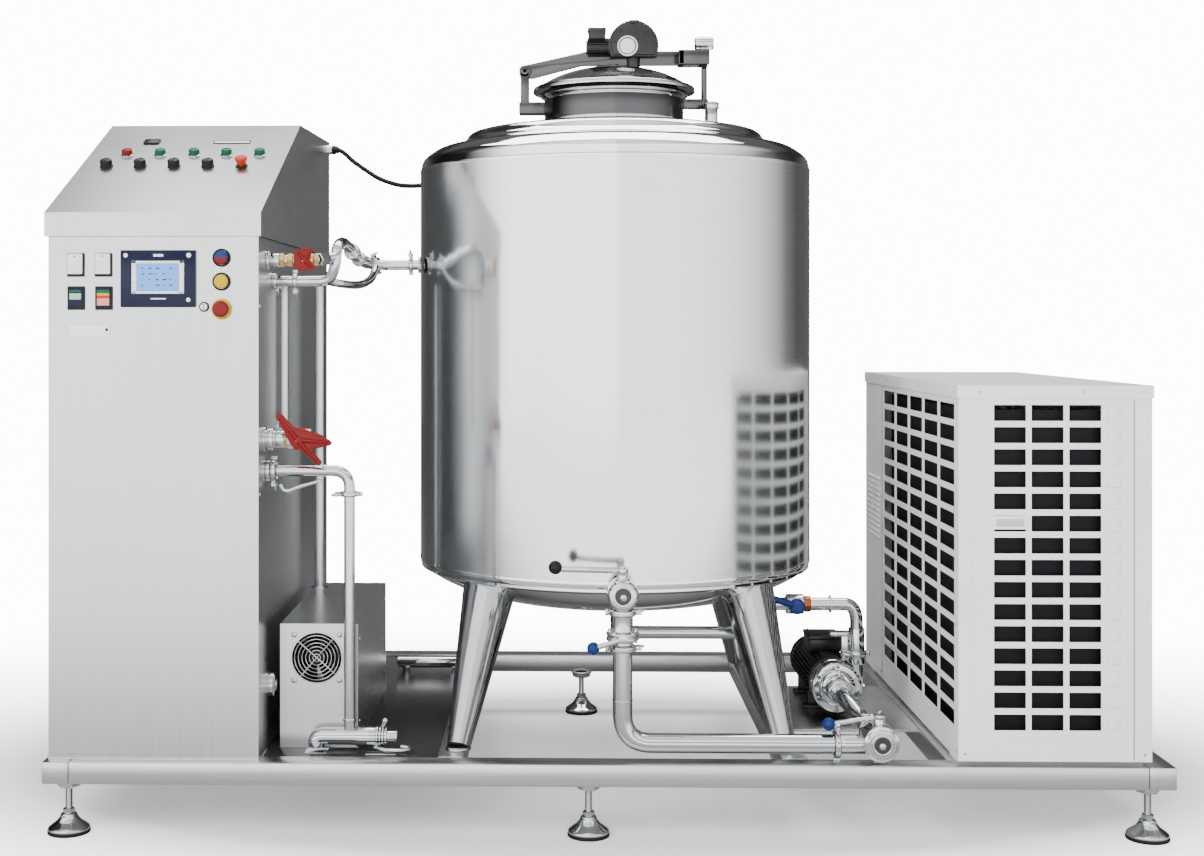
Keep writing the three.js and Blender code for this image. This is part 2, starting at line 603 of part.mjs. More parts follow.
// ---------------------------------------------------------------- control cabinet
function cabinetBody() {
  const { left, right, front, back, low, high } = CABINET;
  const shell = cut(
    block([left, right], [front, back], [low, high]),
    block([left + SHEET, right - SHEET], [front + SHEET, back - SHEET], [low + SHEET, high + 10]),
  );
  const side = (y, z, length, radius) => rod([right - 1, y, z], [right + length, y, z], radius);
  const midValve = [
    side(MID_VALVE.y, MID_VALVE.z, 26, 20), side(MID_VALVE.y, MID_VALVE.z, MID_VALVE.reach, 13),
  ];
  const { x: valveX, y: valveY, z: valveZ, bodyRadius, stemEnd } = MID_VALVE;
  const valveEnds = [valveX - 26, valveX + 26].map((x) => [x, valveY, valveZ]);
  const valveBody = rod(...valveEnds, bodyRadius, bodyRadius, 16);
  const midStem = rod([valveX, valveY, valveZ], [valveX, stemEnd, valveZ], 7);
  const inspection = side(-475, 311, 9, 28);
  const riser = rod([right + 15, -353, 880], [right + 15, -353, 1240], 9.5, 9.5, 12);
  const risers = [890, 1230].map((z) => side(-353, z, 15, 8));
  const holes = BUTTONS.map(({ x, z, bore }) => rod([x, front - 5, z], [x, front + 8, z], bore, bore, 8));
  return cut(join(shell, ...midValve, valveBody, midStem, inspection, riser, ...risers), ...holes);
}

// Lip, sloping desk and flat top of the hood, seen from the side.
function hoodOutline(inset) {
  const { front, lipTop, crestY, crestZ, backZ } = HOOD;
  const low = CABINET.high + GAP;
  const back = CABINET.back;
  return [
    [front + inset, inset ? low - 5 : low], [front + inset, lipTop - inset * 0.6], [crestY, crestZ - inset],
    [back - inset, backZ - inset], [back - inset, inset ? low - 5 : low],
  ];
}

function consoleHood() {
  const { left, right } = HOOD;
  const outside = sideExtrusion(hoodOutline(0), left, right);
  const inside = sideExtrusion(hoodOutline(SHEET), left + SHEET, right - SHEET);
  const gland = rod([right - 1, 415, 1639], [right + 20, 415, 1639], 15, 11, 12);
  const { columns, boreRadius } = CONTROLS;
  const bores = columns.map((x) => onDesk(rod([x, 0, -12], [x, 0, 12], boreRadius, boreRadius, 8)));
  return cut(join(cut(outside, inside), gland), ...bores);
}

// Turns a shape made at the origin with +Z as its outward direction onto the sloping desk.
function onDesk(geometry) {
  const { front, lipTop, crestY, crestZ } = HOOD;
  const angle = Math.atan2(crestZ - lipTop, crestY - front);
  const y = front + CONTROLS.lowerRow;
  const z = lipTop + CONTROLS.lowerRow * Math.tan(angle);
  return geometry.rotateX(angle).translate(0, y, z);
}

function selectorKnob() {
  const skirt = rod([0, 0, 1], [0, 0, 8], 14, 13);
  const grip = block([-4, 4], [-12.5, 12.5], [7, 19]);
  const shaft = rod([0, 0, -14], [0, 0, 2], CONTROLS.boreRadius - 1, CONTROLS.boreRadius - 1, 8);
  return join(skirt, grip, shaft);
}

function mushroom(capRadius, travel, height, boreRadius) {
  const cap = turned([
    [0, travel + 1], [capRadius, travel + 1], [capRadius, height - 5], [capRadius - 5, height], [0, height],
  ]);
  const shaft = rod([0, 0, -14], [0, 0, travel + 3], boreRadius - 1, boreRadius - 1, 8);
  return join(cap, shaft);
}

function onPanel(geometry, { x, z }) {
  return geometry.rotateX(Math.PI / 2).translate(x, CABINET.front, z);
}

function panelButton({ radius, bore, height }) {
  const cap = turned([[0, 4], [radius, 4], [radius, height - 2], [radius - 2, height], [0, height]]);
  return join(cap, rod([0, 0, -14], [0, 0, 5], bore - 1, bore - 1, 8));
}

function keySwitch() {
  const barrel = rod([0, 0, 1], [0, 0, 7], 9.5, 9.5, 16);
  const key = block([-1.5, 1.5], [-7, 7], [6, 18]);
  return join(barrel, key, rod([0, 0, -14], [0, 0, 2], 5, 5, 12));
}

function buildControls(parent) {
  const selectors = CONTROLS.columns.slice(0, 4);
  selectors.forEach((x, index) => {
    piece(parent, `selector_${index + 1}`, onDesk(selectorKnob().translate(x, 0, 0)), blackPlastic);
  });
  const stop = mushroom(15, 5, 17, CONTROLS.boreRadius).translate(CONTROLS.columns[4], 0, 0);
  piece(parent, 'stop_button', onDesk(stop), redPlastic);
  const [twoColour, yellow, emergency, key] = BUTTONS;
  piece(parent, 'two_colour_button', onPanel(panelButton(twoColour), twoColour), bluePlastic);
  piece(parent, 'yellow_button', onPanel(panelButton(yellow), yellow), yellowPlastic);
  piece(parent, 'emergency_stop', onPanel(mushroom(18, 6, 19, emergency.bore), emergency), redPlastic);
  piece(parent, 'key_switch', onPanel(keySwitch(), key), chrome);
}

function buildCabinet() {
  const cabinet = group(machine);
  const { left, right, front } = CABINET;
  piece(cabinet, 'cabinet_body', cabinetBody(), brushedSteel);
  piece(cabinet, 'console_hood', consoleHood(), brushedSteel);
  const plate = join(
    block([left + 60, right - 60], [440, 443], [260, 1260]),
    ...[300, 700, 1100].map((z) => block([left + 90, right - 90], [340, 441], [z, z + 110])),
  );
  piece(cabinet, 'control_plate', plate.translate(0, 8, 0), greyPaint);
  const panel = block([-1077, -909], [front - 9, front - GAP], [1178, 1305]);
  piece(cabinet, 'touch_panel', panel, whitePlastic);
  buildControls(cabinet);
}

// ---------------------------------------------------------------- pipes between cabinet and tank
function sidePort(y, z, radius) {
  return rod([CABINET.right + GAP, y, z], [CABINET.right + 10, y, z], radius);
}

function inletPipe() {
  const start = CABINET.right + GAP;
  const feed = tubeAlong(spline([
    [start, -500, 1287], [-720, -500, 1287], [-665, -490, 1288], [-623, -440, 1298],
  ]), 12, 4);
  const hoop = tubeAlong(spline([
    [start, -420, 1242], [-690, -420, 1241], [-640, -425, 1246], [-622, -438, 1280], [-619, -430, 1316],
    [-614, -380, 1333], [-607, -300, 1325], [-600, -225, 1308], [-585, -160, 1294], [-545, -125, 1290],
    [-490, -125, 1290], [TANK.x - 470, -125, 1290],
  ]), 12, 18);
  const bypass = tubeAlong(spline([
    [-650, -424, 1243], [-615, -380, 1236], [-585, -290, 1236], [-566, -210, 1252], [-560, -150, 1282],
  ]), 10, 6);
  const { x, y, z, bodyRadius, stemEnd } = INLET_VALVE;
  const body = rod([x - 20, y, z], [x + 20, y, z], bodyRadius);
  const stem = rod([x, y, z], [x, stemEnd, z], 6);
  const ports = [sidePort(-500, 1287, 23), sidePort(-420, 1242, 20)];
  const tankRoom = tankEnvelope().translate(TANK.x, 0, 0);
  return cut(join(feed, hoop, bypass, body, stem, ...ports), tankRoom);
}

// A flat winged handle whose outline is given in X and Z from the stem, on a round hub.
function wingHandle({ x, z, stemEnd }, outline, hubRadius) {
  const face = stemEnd - GAP;
  const hub = rod([x, face, z], [x, face - 9, z], hubRadius);
  const wings = sideExtrusionAcross(outline, face - 9, face - 2).translate(x, 0, z);
  return join(hub, wings);
}

function drainPipe() {
  const start = CABINET.right + GAP;
  const run = bentRun([[start, DRAIN.y, DRAIN.z], [DRAIN.x, DRAIN.y, DRAIN.z], [DRAIN.x, DRAIN.y, 200]], 40);
  const tube = tubeAlong(run, 13, 16);
  const coupling = rod([-660, DRAIN.y, 200], [-470, DRAIN.y, 200], 23, 20);
  return join(tube, coupling, sidePort(DRAIN.y, DRAIN.z, 26));
}

function buildPipes() {
  const pipes = group(machine);
  piece(pipes, 'inlet_pipe', inletPipe(), polishedSteel);
  piece(pipes, 'inlet_valve_handle', wingHandle(INLET_VALVE, INLET_WINGS, 11), redPlastic);
  piece(pipes, 'drain_pipe', drainPipe(), polishedSteel);
  piece(pipes, 'mid_valve_handle', wingHandle(MID_VALVE, MID_WINGS, 14), redPlastic);
}

// ---------------------------------------------------------------- fan box on the deck
function fanBox() {
  const { left, right, front, back, high, fanX, fanZ, fanRadius } = FANBOX;
  const low = DECK.high + GAP;
  const shell = cut(
    block([left, right], [front, back], [low, high]),
    block([left + SHEET, right - SHEET], [front + SHEET, back - SHEET], [low + SHEET, high - SHEET]),
  );
  const riser = rod([-730, 50, high - 1], [-730, 50, 1248], 14, 14, 16);
  const carrier = block([fanX - 8, fanX + 8], [front + 60, front + 70], [low + 1, fanZ + 22]);
  const motor = rod([fanX, front + 30, fanZ], [fanX, front + 66, fanZ], 20);
  const opening = rod([fanX, front - 5, fanZ], [fanX, front + 10, fanZ], fanRadius, fanRadius, 24);
  return cut(join(shell, riser, carrier, motor), opening);
}

// A hub with pitched blades, turning about Y.
function fanRotor(hubRadius, tipRadius, depth, blades) {
  const hub = rod([0, -depth / 2, 0], [0, depth / 2, 0], hubRadius, hubRadius, 12);
  const vanes = Array.from({ length: blades }, (_, index) => {
    const span = tipRadius - hubRadius + 4;
    const vane = new THREE.BoxGeometry(2.5, depth * 0.8, span).translate(0, 0, hubRadius - 4 + span / 2);
    return vane.rotateZ(BLADE_PITCH).rotateY((index * 2 * Math.PI) / blades);
  });
  return join(hub, ...vanes);
}

// ---------------------------------------------------------------- condensing unit
function chillerFrame() {
  const { left, right, front, back, low, high, skirt } = CHILLER;
  const { x, y, z } = CHILLER_FAN;
  const window = [low + 48, high - skirt - 14];
  const shell = cut(
    block([left, right], [front, back], [low, high - 5]),
    block([left + SHEET, right - SHEET], [front + SHEET, back - SHEET], [low + 20, high]),
    block([left + 30, 1160], [front - 5, front + 5], window),
    block([left - 5, left + 5], [front + 32, 210], window),
  );
  const runners = [front + 40, back - 100].map(
    (start) => block([left + 5, right - 5], [start, start + 60], [SKID.top + GAP, low + 1]),
  );
  const fanPost = block([x - 15, x + 15], [y + 60, y + 75], [low + 10, z + 30]);
  const fanMotor = rod([x, y + 26, z], [x, y + 62, z], 45);
  return join(shell, ...runners, fanPost, fanMotor);
}

function chillerTop() {
  const { left, right, front, back, high, skirt } = CHILLER;
  const [out, inside] = [SHEET + GAP, GAP];
  return cut(
    block([left - out, right + out], [front - out, back + out], [high - skirt, high]),
    block([left - inside, right + inside], [front - inside, back + inside], [high - skirt - 5, high - SHEET]),
  );
}

// A flat panel in X and Z with rows and columns of rectangular openings.
function louvredPanel(width, low, high, columns) {
  const bottoms = Array.from({ length: GRILLE.rows }, (_, row) => GRILLE.firstRow + row * GRILLE.rowPitch);
  const openings = bottoms.flatMap((bottom) => columns.map(
    (column) => block(column, [-SHEET, 2 * SHEET], [bottom, bottom + GRILLE.openingHigh]),
  ));
  return cut(block([0, width], [0, SHEET], [low, high]), ...openings);
}

function frontGrille() {
  const { left, front, low, high, skirt } = CHILLER;
  const columns = [0, 1, 2].map((index) => [47 + index * 82, 47 + index * 82 + 70]);
  const panel = louvredPanel(1160 - left - 30 - 2 * GAP, low + 48 + GAP, high - skirt - 14 - GAP, columns);
  return panel.translate(left + 30 + GAP, front, 0);
}

function sideGrille() {
  const { left, front, low, high, skirt } = CHILLER;
  const length = 210 - (front + 32) - 2 * GAP;
  const pitch = length / 5;
  const columns = [0, 1, 2, 3, 4].map((index) => [index * pitch + 7, (index + 1) * pitch - 7]);
  const panel = louvredPanel(length, low + 48 + GAP, high - skirt - 14 - GAP, columns);
  return panel.rotateZ(Math.PI / 2).translate(left + SHEET, front + 32 + GAP, 0);
}

function chillerCoil() {
  const { left, front, low } = CHILLER;
  const [x, y] = [left + 22, front + 22];
  const outline = [
    [x, y], [1140, y], [1140, y + 32], [x + 32, y + 32], [x + 32, 200], [x, 200],
  ];
  const shape = new THREE.Shape(outline.map((point) => new THREE.Vector2(...point)));
  const coil = new THREE.ExtrudeGeometry(shape, { depth: 750, bevelEnabled: false });
  return coil.translate(0, 0, low + 20 + GAP);
}

function compressor() {
  const { low } = CHILLER;
  const base = low + 20 + GAP;
  const outline = [
    [0, 0], [95, 0], [95, 12], [88, 20], [92, 60], [92, 230], [60, 280], [0, 292],
  ];
  return turned(outline, 18).translate(0, 0, base);
}

function buildChiller() {
  const unit = group(machine);
  piece(unit, 'chiller_frame', chillerFrame(), brushedSteel);
  piece(unit, 'chiller_top', chillerTop(), brushedSteel);
  piece(unit, 'chiller_front_grille', frontGrille(), brushedSteel);
  piece(unit, 'chiller_side_grille', sideGrille(), brushedSteel);
  piece(unit, 'chiller_coil', chillerCoil(), copperFins);
  piece(group(unit, 1010, 150), 'compressor', compressor(), blackPaint);
  const fanPlace = group(unit, CHILLER_FAN.x, CHILLER_FAN.y, CHILLER_FAN.z);
  piece(fanPlace, 'chiller_fan', fanRotor(48, 160, 50, 5), blackPlastic);
}

function buildFanBox() {
  piece(machine, 'fan_box', fanBox(), brushedSteel);
  const place = group(machine, FANBOX.fanX, FANBOX.front + 17, FANBOX.fanZ);
  piece(place, 'fan_rotor', fanRotor(20, 53, 25, 7), blackPlastic);
}

buildSkid();
buildTank();
buildLines();
buildCabinet();
buildPipes();
buildFanBox();
buildChiller();

// ---------------------------------------------------------------- cable from cabinet to tank
const cableRoute = [
  [-742.4, 415, 1639], [-730, 415, 1639], [-712, 412, 1628], [-689, 408, 1607], [-650, 397, 1579],
  [-614, 383, 1556], [-578, 366, 1541], [-545, 349, 1532], [-510, 331, 1529], [-475, 313, 1530],
  [-435, 291, 1533], [-414.2, 278.3, 1533],
];
piece(machine, 'power_cable', tubeAlong(spline(cableRoute), 6.5, 20, 8), rubber);

export default machine;
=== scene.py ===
"""Looks of the skid-mounted bulk milk tank: materials, fine meshes, studio and camera."""
import math

import bmesh
import bpy
from mathutils import Matrix, Vector


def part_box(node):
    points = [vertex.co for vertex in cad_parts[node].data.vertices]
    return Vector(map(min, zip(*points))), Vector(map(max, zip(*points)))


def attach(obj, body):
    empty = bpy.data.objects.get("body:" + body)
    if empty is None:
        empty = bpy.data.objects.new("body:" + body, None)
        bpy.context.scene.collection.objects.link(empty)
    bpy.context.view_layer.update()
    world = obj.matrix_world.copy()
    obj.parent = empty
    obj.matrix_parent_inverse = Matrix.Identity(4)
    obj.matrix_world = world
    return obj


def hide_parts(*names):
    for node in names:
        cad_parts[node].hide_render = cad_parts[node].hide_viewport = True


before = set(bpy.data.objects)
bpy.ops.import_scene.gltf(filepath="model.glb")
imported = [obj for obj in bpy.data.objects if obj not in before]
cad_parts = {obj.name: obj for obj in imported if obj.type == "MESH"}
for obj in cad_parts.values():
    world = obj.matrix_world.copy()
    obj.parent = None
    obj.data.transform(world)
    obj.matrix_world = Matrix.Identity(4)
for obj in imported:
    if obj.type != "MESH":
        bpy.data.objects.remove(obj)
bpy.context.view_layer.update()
SCENE = bpy.context.scene
ROOT = "machine"

# ------------------------------------------------------------- driving dimensions (metres)
GAP = 0.0003
RAIL_TOP = 0.170
TANK_X = 0.040
SHELL_LOW, SHELL_HIGH = 0.547, 1.530
NECK_RADIUS, NECK_BORE = 0.178, 0.170
OUTLET_Y, OUTLET_Z = -0.575, 0.538
RETURN_Y, RETURN_Z = -0.215, 0.385
OUTLET_RUN_Z = 0.206
PUMP_X, PUMP_Z, PUMP_LINE_Z = 0.575, 0.255, 0.456
FERRULE_RADIUS, RETURN_PIPE_RADIUS = 0.0315, 0.0158
HINGE_X, HINGE_Z = TANK_X - 0.230, 1.794
BOLT_X, BOLT_PIVOT_Z = TANK_X + 0.233, 1.712
DRIVE_X, DRIVE_Z, MOTOR_Z = 0.090, 1.859, 1.857
BUTTERFLY_Z = 0.445
TANK_AXIS = Matrix.Translation((TANK_X, 0, 0))
TANK_SIDES = 160


# ------------------------------------------------------------- camera, light and floor
SWEEP_BRIGHTNESS = 14.0
ROOM_DIFFUSE, ROOM_MIRRORED = 1.3, 3.7
FLOOR_REACH = 14.0
FLOOR_MIRROR_SHARE = 0.85
BLUISH, NEUTRAL = 1.01, 1.0
# Brightness of the room in the steel's reflections: once round, then from the horizon to the zenith.
ROUND_TONES = [
    (0.0, 1.0), (0.17, 0.95), (0.21, 0.72), (0.25, 0.30), (0.29, 0.02), (0.36, 0.008), (0.42, 0.03),
    (0.50, 0.05), (0.58, 0.035), (0.64, 0.03), (0.68, 0.07), (0.72, 0.24), (0.76, 0.42), (0.83, 0.62),
    (0.90, 0.74),
]
RISING_TONES = [
    (0.0, 1.0), (0.20, 1.0), (0.27, 0.30), (0.40, 0.26), (0.50, 0.85), (0.72, 1.0), (0.80, 0.45),
    (1.0, 0.6),
]


def make_camera():
    """Level, in front of the machine and a little left of its middle."""
    data = bpy.data.cameras.new("camera")
    data.lens = 48.23
    data.sensor_width = 36.0
    data.shift_x = 0.0626
    data.shift_y = -0.0840
    data.clip_end = 60.0
    camera = bpy.data.objects.new("camera", data)
    camera.location = (-0.1016, -4.1786, 1.1344)
    camera.rotation_euler = (math.radians(90), 0, math.radians(1.154))
    SCENE.collection.objects.link(camera)
    SCENE.camera = camera


def area_light(name, place, target, size, power, mirrored=False):
    """A soft panel; only a mirrored one shows in the steel."""
    data = bpy.data.lights.new(name, "AREA")
    data.shape = "RECTANGLE"
    data.size, data.size_y = size
    data.energy = power
    light = bpy.data.objects.new(name, data)
    light.location = place
    light.visible_glossy = mirrored
    light.rotation_euler = (Vector(target) - Vector(place)).to_track_quat("-Z", "Y").to_euler()
    SCENE.collection.objects.link(light)


def add_sum(nodes, links, first, second, operation="ADD"):
    """The sum, or another operation, of two outputs; a plain number may stand for the second."""
    total = nodes.new("ShaderNodeMath")
    total.operation = operation
    links.new(first, total.inputs[0])
    if isinstance(second, float):
        total.inputs[1].default_value = second
    else:
        links.new(second, total.inputs[1])
    return total.outputs["Value"]


def add_mix(nodes, links, share, first, second):
    """The first shader where the share is 0, the second where it is 1."""
    mix = nodes.new("ShaderNodeMixShader")
    links.new(share, mix.inputs["Fac"])
    links.new(first, mix.inputs[1])
    links.new(second, mix.inputs[2])
    return mix.outputs["Shader"]


def add_tones(nodes, links, source, tones, blue):
    """A ramp of greys, from pairs of position and brightness."""
    ramp = nodes.new("ShaderNodeValToRGB")
    ramp.color_ramp.elements[0].position = 0.0
    while len(ramp.color_ramp.elements) < len(tones):
        ramp.color_ramp.elements.new(0.5)
    for element, (position, tone) in zip(ramp.color_ramp.elements, tones):
        element.position = position
        element.color = (tone, tone, tone * blue, 1)
    links.new(source, ramp.inputs["Fac"])
    return ramp.outputs["Color"]


def make_world():
    """A white sweep to the eye, with a bright front and dark sides in the steel's reflections."""
    world = bpy.data.worlds.new("studio")
    SCENE.world = world
    world.use_nodes = True
    nodes, links = world.node_tree.nodes, world.node_tree.links
    nodes.clear()
    place = nodes.new("ShaderNodeTexCoord")
    split = nodes.new("ShaderNodeSeparateXYZ")
    links.new(place.outputs["Generated"], split.inputs["Vector"])
    heading = add_sum(nodes, links, split.outputs["X"], split.outputs["Y"], "ARCTAN2")
    turn = add_range(nodes, links, heading, 0.0, 1.0, -math.pi, math.pi)
    tone = nodes.new("ShaderNodeVectorMath")
    tone.operation = "MULTIPLY"
    links.new(add_tones(nodes, links, turn, ROUND_TONES, BLUISH), tone.inputs[0])
    links.new(add_tones(nodes, links, split.outputs["Z"], RISING_TONES, NEUTRAL), tone.inputs[1])
    path = nodes.new("ShaderNodeLightPath")
    room = nodes.new("ShaderNodeBackground")
    links.new(tone.outputs["Vector"], room.inputs["Color"])
    strength = add_range(nodes, links, path.outputs["Is Glossy Ray"], ROOM_DIFFUSE, ROOM_MIRRORED)
    links.new(strength, room.inputs["Strength"])
    seen = nodes.new("ShaderNodeBackground")
    seen.inputs["Color"].default_value = (1.0, 1.0, 1.0, 1)
    seen.inputs["Strength"].default_value = SWEEP_BRIGHTNESS
    output = nodes.new("ShaderNodeOutputWorld")
    mixed = add_mix(nodes, links, path.outputs["Is Camera Ray"], room.outputs["Background"],
                    seen.outputs["Background"])
    links.new(mixed, output.inputs["Surface"])


def make_floor():
    """A pale floor that fades into the sweep, and glows towards the front and back in mirrors."""
    mesh = bpy.data.meshes.new("floor")
    corners = [(x * FLOOR_REACH, y * FLOOR_REACH, 0) for x, y in ((-1, -1), (1, -1), (1, 1), (-1, 1))]
    mesh.from_pydata(corners, [], [(0, 1, 2, 3)])
    floor = bpy.data.objects.new("floor", mesh)
    SCENE.collection.objects.link(floor)
    material, nodes, links, shader = shader_material("floor_paint")
    shader.inputs["Base Color"].default_value = (0.86, 0.87, 0.88, 1)
    shader.inputs["Roughness"].default_value = 0.32
    white = nodes.new("ShaderNodeEmission")
    white.inputs["Strength"].default_value = SWEEP_BRIGHTNESS
    place = nodes.new("ShaderNodeTexCoord")
    squeeze = nodes.new("ShaderNodeMapping")
    squeeze.inputs["Scale"].default_value = (0.5, 1.0, 1.0)
    distance = nodes.new("ShaderNodeVectorMath")
    distance.operation = "LENGTH"
    links.new(place.outputs["Object"], squeeze.inputs["Vector"])
    links.new(squeeze.outputs["Vector"], distance.inputs[0])
    fade = add_range(nodes, links, distance.outputs["Value"], 0.03, 1.0, 0.72, 2.1)
    path = nodes.new("ShaderNodeLightPath")
    share = add_sum(nodes, links, fade, path.outputs["Is Camera Ray"], "MULTIPLY")
    seen = add_mix(nodes, links, share, shader.outputs["BSDF"], white.outputs["Emission"])
    glow = nodes.new("ShaderNodeEmission")
    depth = nodes.new("ShaderNodeSeparateXYZ")
    links.new(place.outputs["Object"], depth.inputs[0])
    near = add_range(nodes, links, depth.outputs["Y"], 0.06, 0.75, 0.2, -1.1)
    far = add_range(nodes, links, depth.outputs["Y"], 0.0, 2.3, -1.6, -3.6)
    links.new(add_sum(nodes, links, near, far), glow.inputs["Strength"])
    mirrored_share = add_sum(nodes, links, path.outputs["Is Glossy Ray"], FLOOR_MIRROR_SHARE, "MULTIPLY")
    surface = add_mix(nodes, links, mirrored_share, seen, glow.outputs["Emission"])
    links.new(surface, nodes["Material Output"].inputs["Surface"])
    mesh.materials.append(material)


def make_studio():
    """World, floor and five soft lights."""
    make_world()
    make_floor()
    area_light("key", (-2.6, -3.8, 3.2), (0, 0, 0.9), (2.6, 2.6), 215)
    area_light("front", (0.2, -5.6, 2.0), (0, 0, 0.9), (3.2, 3.0), 165)
    area_light("top", (0, 1.0, 4.6), (0, 1.0, 0), (4.4, 2.2), 215, mirrored=True)
    area_light("right", (4.2, -2.6, 2.2), (0.6, 0, 0.8), (1.2, 2.4), 45)
    area_light("rear", (0.5, 4.6, 2.8), (0, 0, 0.8), (5.0, 2.4), 60)


# ------------------------------------------------------------- materials
WAVE_DEPTH = 0.00006


def shader_material(name):
    """A new node material with its parts."""
    material = bpy.data.materials.new(name)
    material.use_nodes = True
    tree = material.node_tree
    return material, tree.nodes, tree.links, tree.nodes["Principled BSDF"]


def add_noise(nodes, links, stretch, detail):
    """Noise in the object's own space, stretched by a factor along each axis."""
    place = nodes.new("ShaderNodeTexCoord")
    mapping = nodes.new("ShaderNodeMapping")
    mapping.inputs["Scale"].default_value = stretch
    noise = nodes.new("ShaderNodeTexNoise")
    noise.inputs["Scale"].default_value = 1.0
    noise.inputs["Detail"].default_value = detail
    links.new(place.outputs["Object"], mapping.inputs["Vector"])
    links.new(mapping.outputs["Vector"], noise.inputs["Vector"])
    return noise


def add_range(nodes, links, source, low, high, start=0.0, end=1.0):
    """An output stretched from one range of numbers to another."""
    spread = nodes.new("ShaderNodeMapRange")
    spread.inputs["From Min"].default_value = start
    spread.inputs["From Max"].default_value = end
    spread.inputs["To Min"].default_value = low
    spread.inputs["To Max"].default_value = high
    links.new(source, spread.inputs["Value"])
    return spread.outputs["Result"]


def add_tint(nodes, links, source, dark, light):
    """Two colours mixed by an output."""
    ramp = nodes.new("ShaderNodeValToRGB")
    ramp.color_ramp.elements[0].position = 0.3
    ramp.color_ramp.elements[1].position = 0.7
    ramp.color_ramp.elements[0].color = (*dark, 1)
    ramp.color_ramp.elements[1].color = (*light, 1)
    links.new(source, ramp.inputs["Fac"])
    return ramp.outputs["Color"]


def add_bump(nodes, links, shader, source, distance, strength=0.3):
    """Fine relief from an output."""
    bump = nodes.new("ShaderNodeBump")
    bump.inputs["Strength"].default_value = strength
    bump.inputs["Distance"].default_value = distance
    links.new(source, bump.inputs["Height"])
    links.new(bump.outputs["Normal"], shader.inputs["Normal"])


def brushed_metal(name, tone, roughness, stretch, spread=0.08, grain=0.00004):
    """Metal with fine drawn lines along the axis whose stretch is small."""
    material, nodes, links, shader = shader_material(name)
    shader.inputs["Metallic"].default_value = 1.0
    lines = add_noise(nodes, links, stretch, detail=6.0)
    clouds = add_noise(nodes, links, (3.0, 3.0, 3.0), detail=2.0)
    dark, light = [channel * 0.93 for channel in tone], [min(channel * 1.05, 1.0) for channel in tone]
    links.new(add_tint(nodes, links, lines.outputs["Fac"], dark, light), shader.inputs["Base Color"])
    drawn = add_range(nodes, links, lines.outputs["Fac"], roughness - spread, roughness + spread)
    clouded = add_range(nodes, links, clouds.outputs["Fac"], -0.04, 0.04)
    links.new(add_sum(nodes, links, drawn, clouded), shader.inputs["Roughness"])
    add_bump(nodes, links, shader, lines.outputs["Fac"], grain)
    return material


def polished_metal(name, tone, roughness):
    """Mirror-like metal with faint smears and a very slight waviness."""
    material, nodes, links, shader = shader_material(name)
    shader.inputs["Metallic"].default_value = 1.0
    smears = add_noise(nodes, links, (9.0, 9.0, 5.0), detail=5.0)
    waves = add_noise(nodes, links, (6.0, 6.0, 3.0), detail=1.0)
    dark, light = [channel * 0.95 for channel in tone], [min(channel * 1.03, 1.0) for channel in tone]
    links.new(add_tint(nodes, links, smears.outputs["Fac"], dark, light), shader.inputs["Base Color"])
    links.new(add_range(nodes, links, smears.outputs["Fac"], roughness * 0.6, roughness * 1.5),
              shader.inputs["Roughness"])
    add_bump(nodes, links, shader, waves.outputs["Fac"], WAVE_DEPTH, 0.2)
    return material


def painted(name, tone, roughness, peel=0.00003, spots=0.0):
    """Sprayed enamel with orange peel and a little grime."""
    material, nodes, links, shader = shader_material(name)
    grime = add_noise(nodes, links, (4.0, 4.0, 7.0), detail=6.0)
    dark = [channel * (0.93 - spots) for channel in tone]
    links.new(add_tint(nodes, links, grime.outputs["Fac"], dark, tone), shader.inputs["Base Color"])
    links.new(add_range(nodes, links, grime.outputs["Fac"], roughness - 0.06, roughness + 0.08),
              shader.inputs["Roughness"])
    peel_noise = add_noise(nodes, links, (260.0, 260.0, 260.0), detail=2.0)
    add_bump(nodes, links, shader, peel_noise.outputs["Fac"], peel, 0.4)
    return material


def moulded(name, tone, roughness, grain=0.00004, coat=0.0):
    """Moulded plastic or rubber with a fine grain."""
    material, nodes, links, shader = shader_material(name)
    shader.inputs["Coat Weight"].default_value = coat
    shader.inputs["Specular IOR Level"].default_value = 0.22
    speck = add_noise(nodes, links, (700.0, 700.0, 700.0), detail=2.0)
    wear = add_noise(nodes, links, (30.0, 30.0, 30.0), detail=4.0)
    dark = [channel * 0.86 for channel in tone]
    links.new(add_tint(nodes, links, wear.outputs["Fac"], dark, tone), shader.inputs["Base Color"])
    links.new(add_range(nodes, links, wear.outputs["Fac"], roughness - 0.06, roughness + 0.1),
              shader.inputs["Roughness"])
    add_bump(nodes, links, shader, speck.outputs["Fac"], grain, 0.5)
    return material


def glowing(name, tone, strength):
    """A lit screen with a faint cell structure."""
    material, nodes, links, shader = shader_material(name)
    cells = add_noise(nodes, links, (300.0, 300.0, 300.0), detail=1.0)
    dark = [channel * 0.85 for channel in tone]
    links.new(add_tint(nodes, links, cells.outputs["Fac"], dark, tone), shader.inputs["Base Color"])
    shader.inputs["Roughness"].default_value = 0.2
    shader.inputs["Emission Color"].default_value = (*tone, 1)
    shader.inputs["Emission Strength"].default_value = strength
    return material


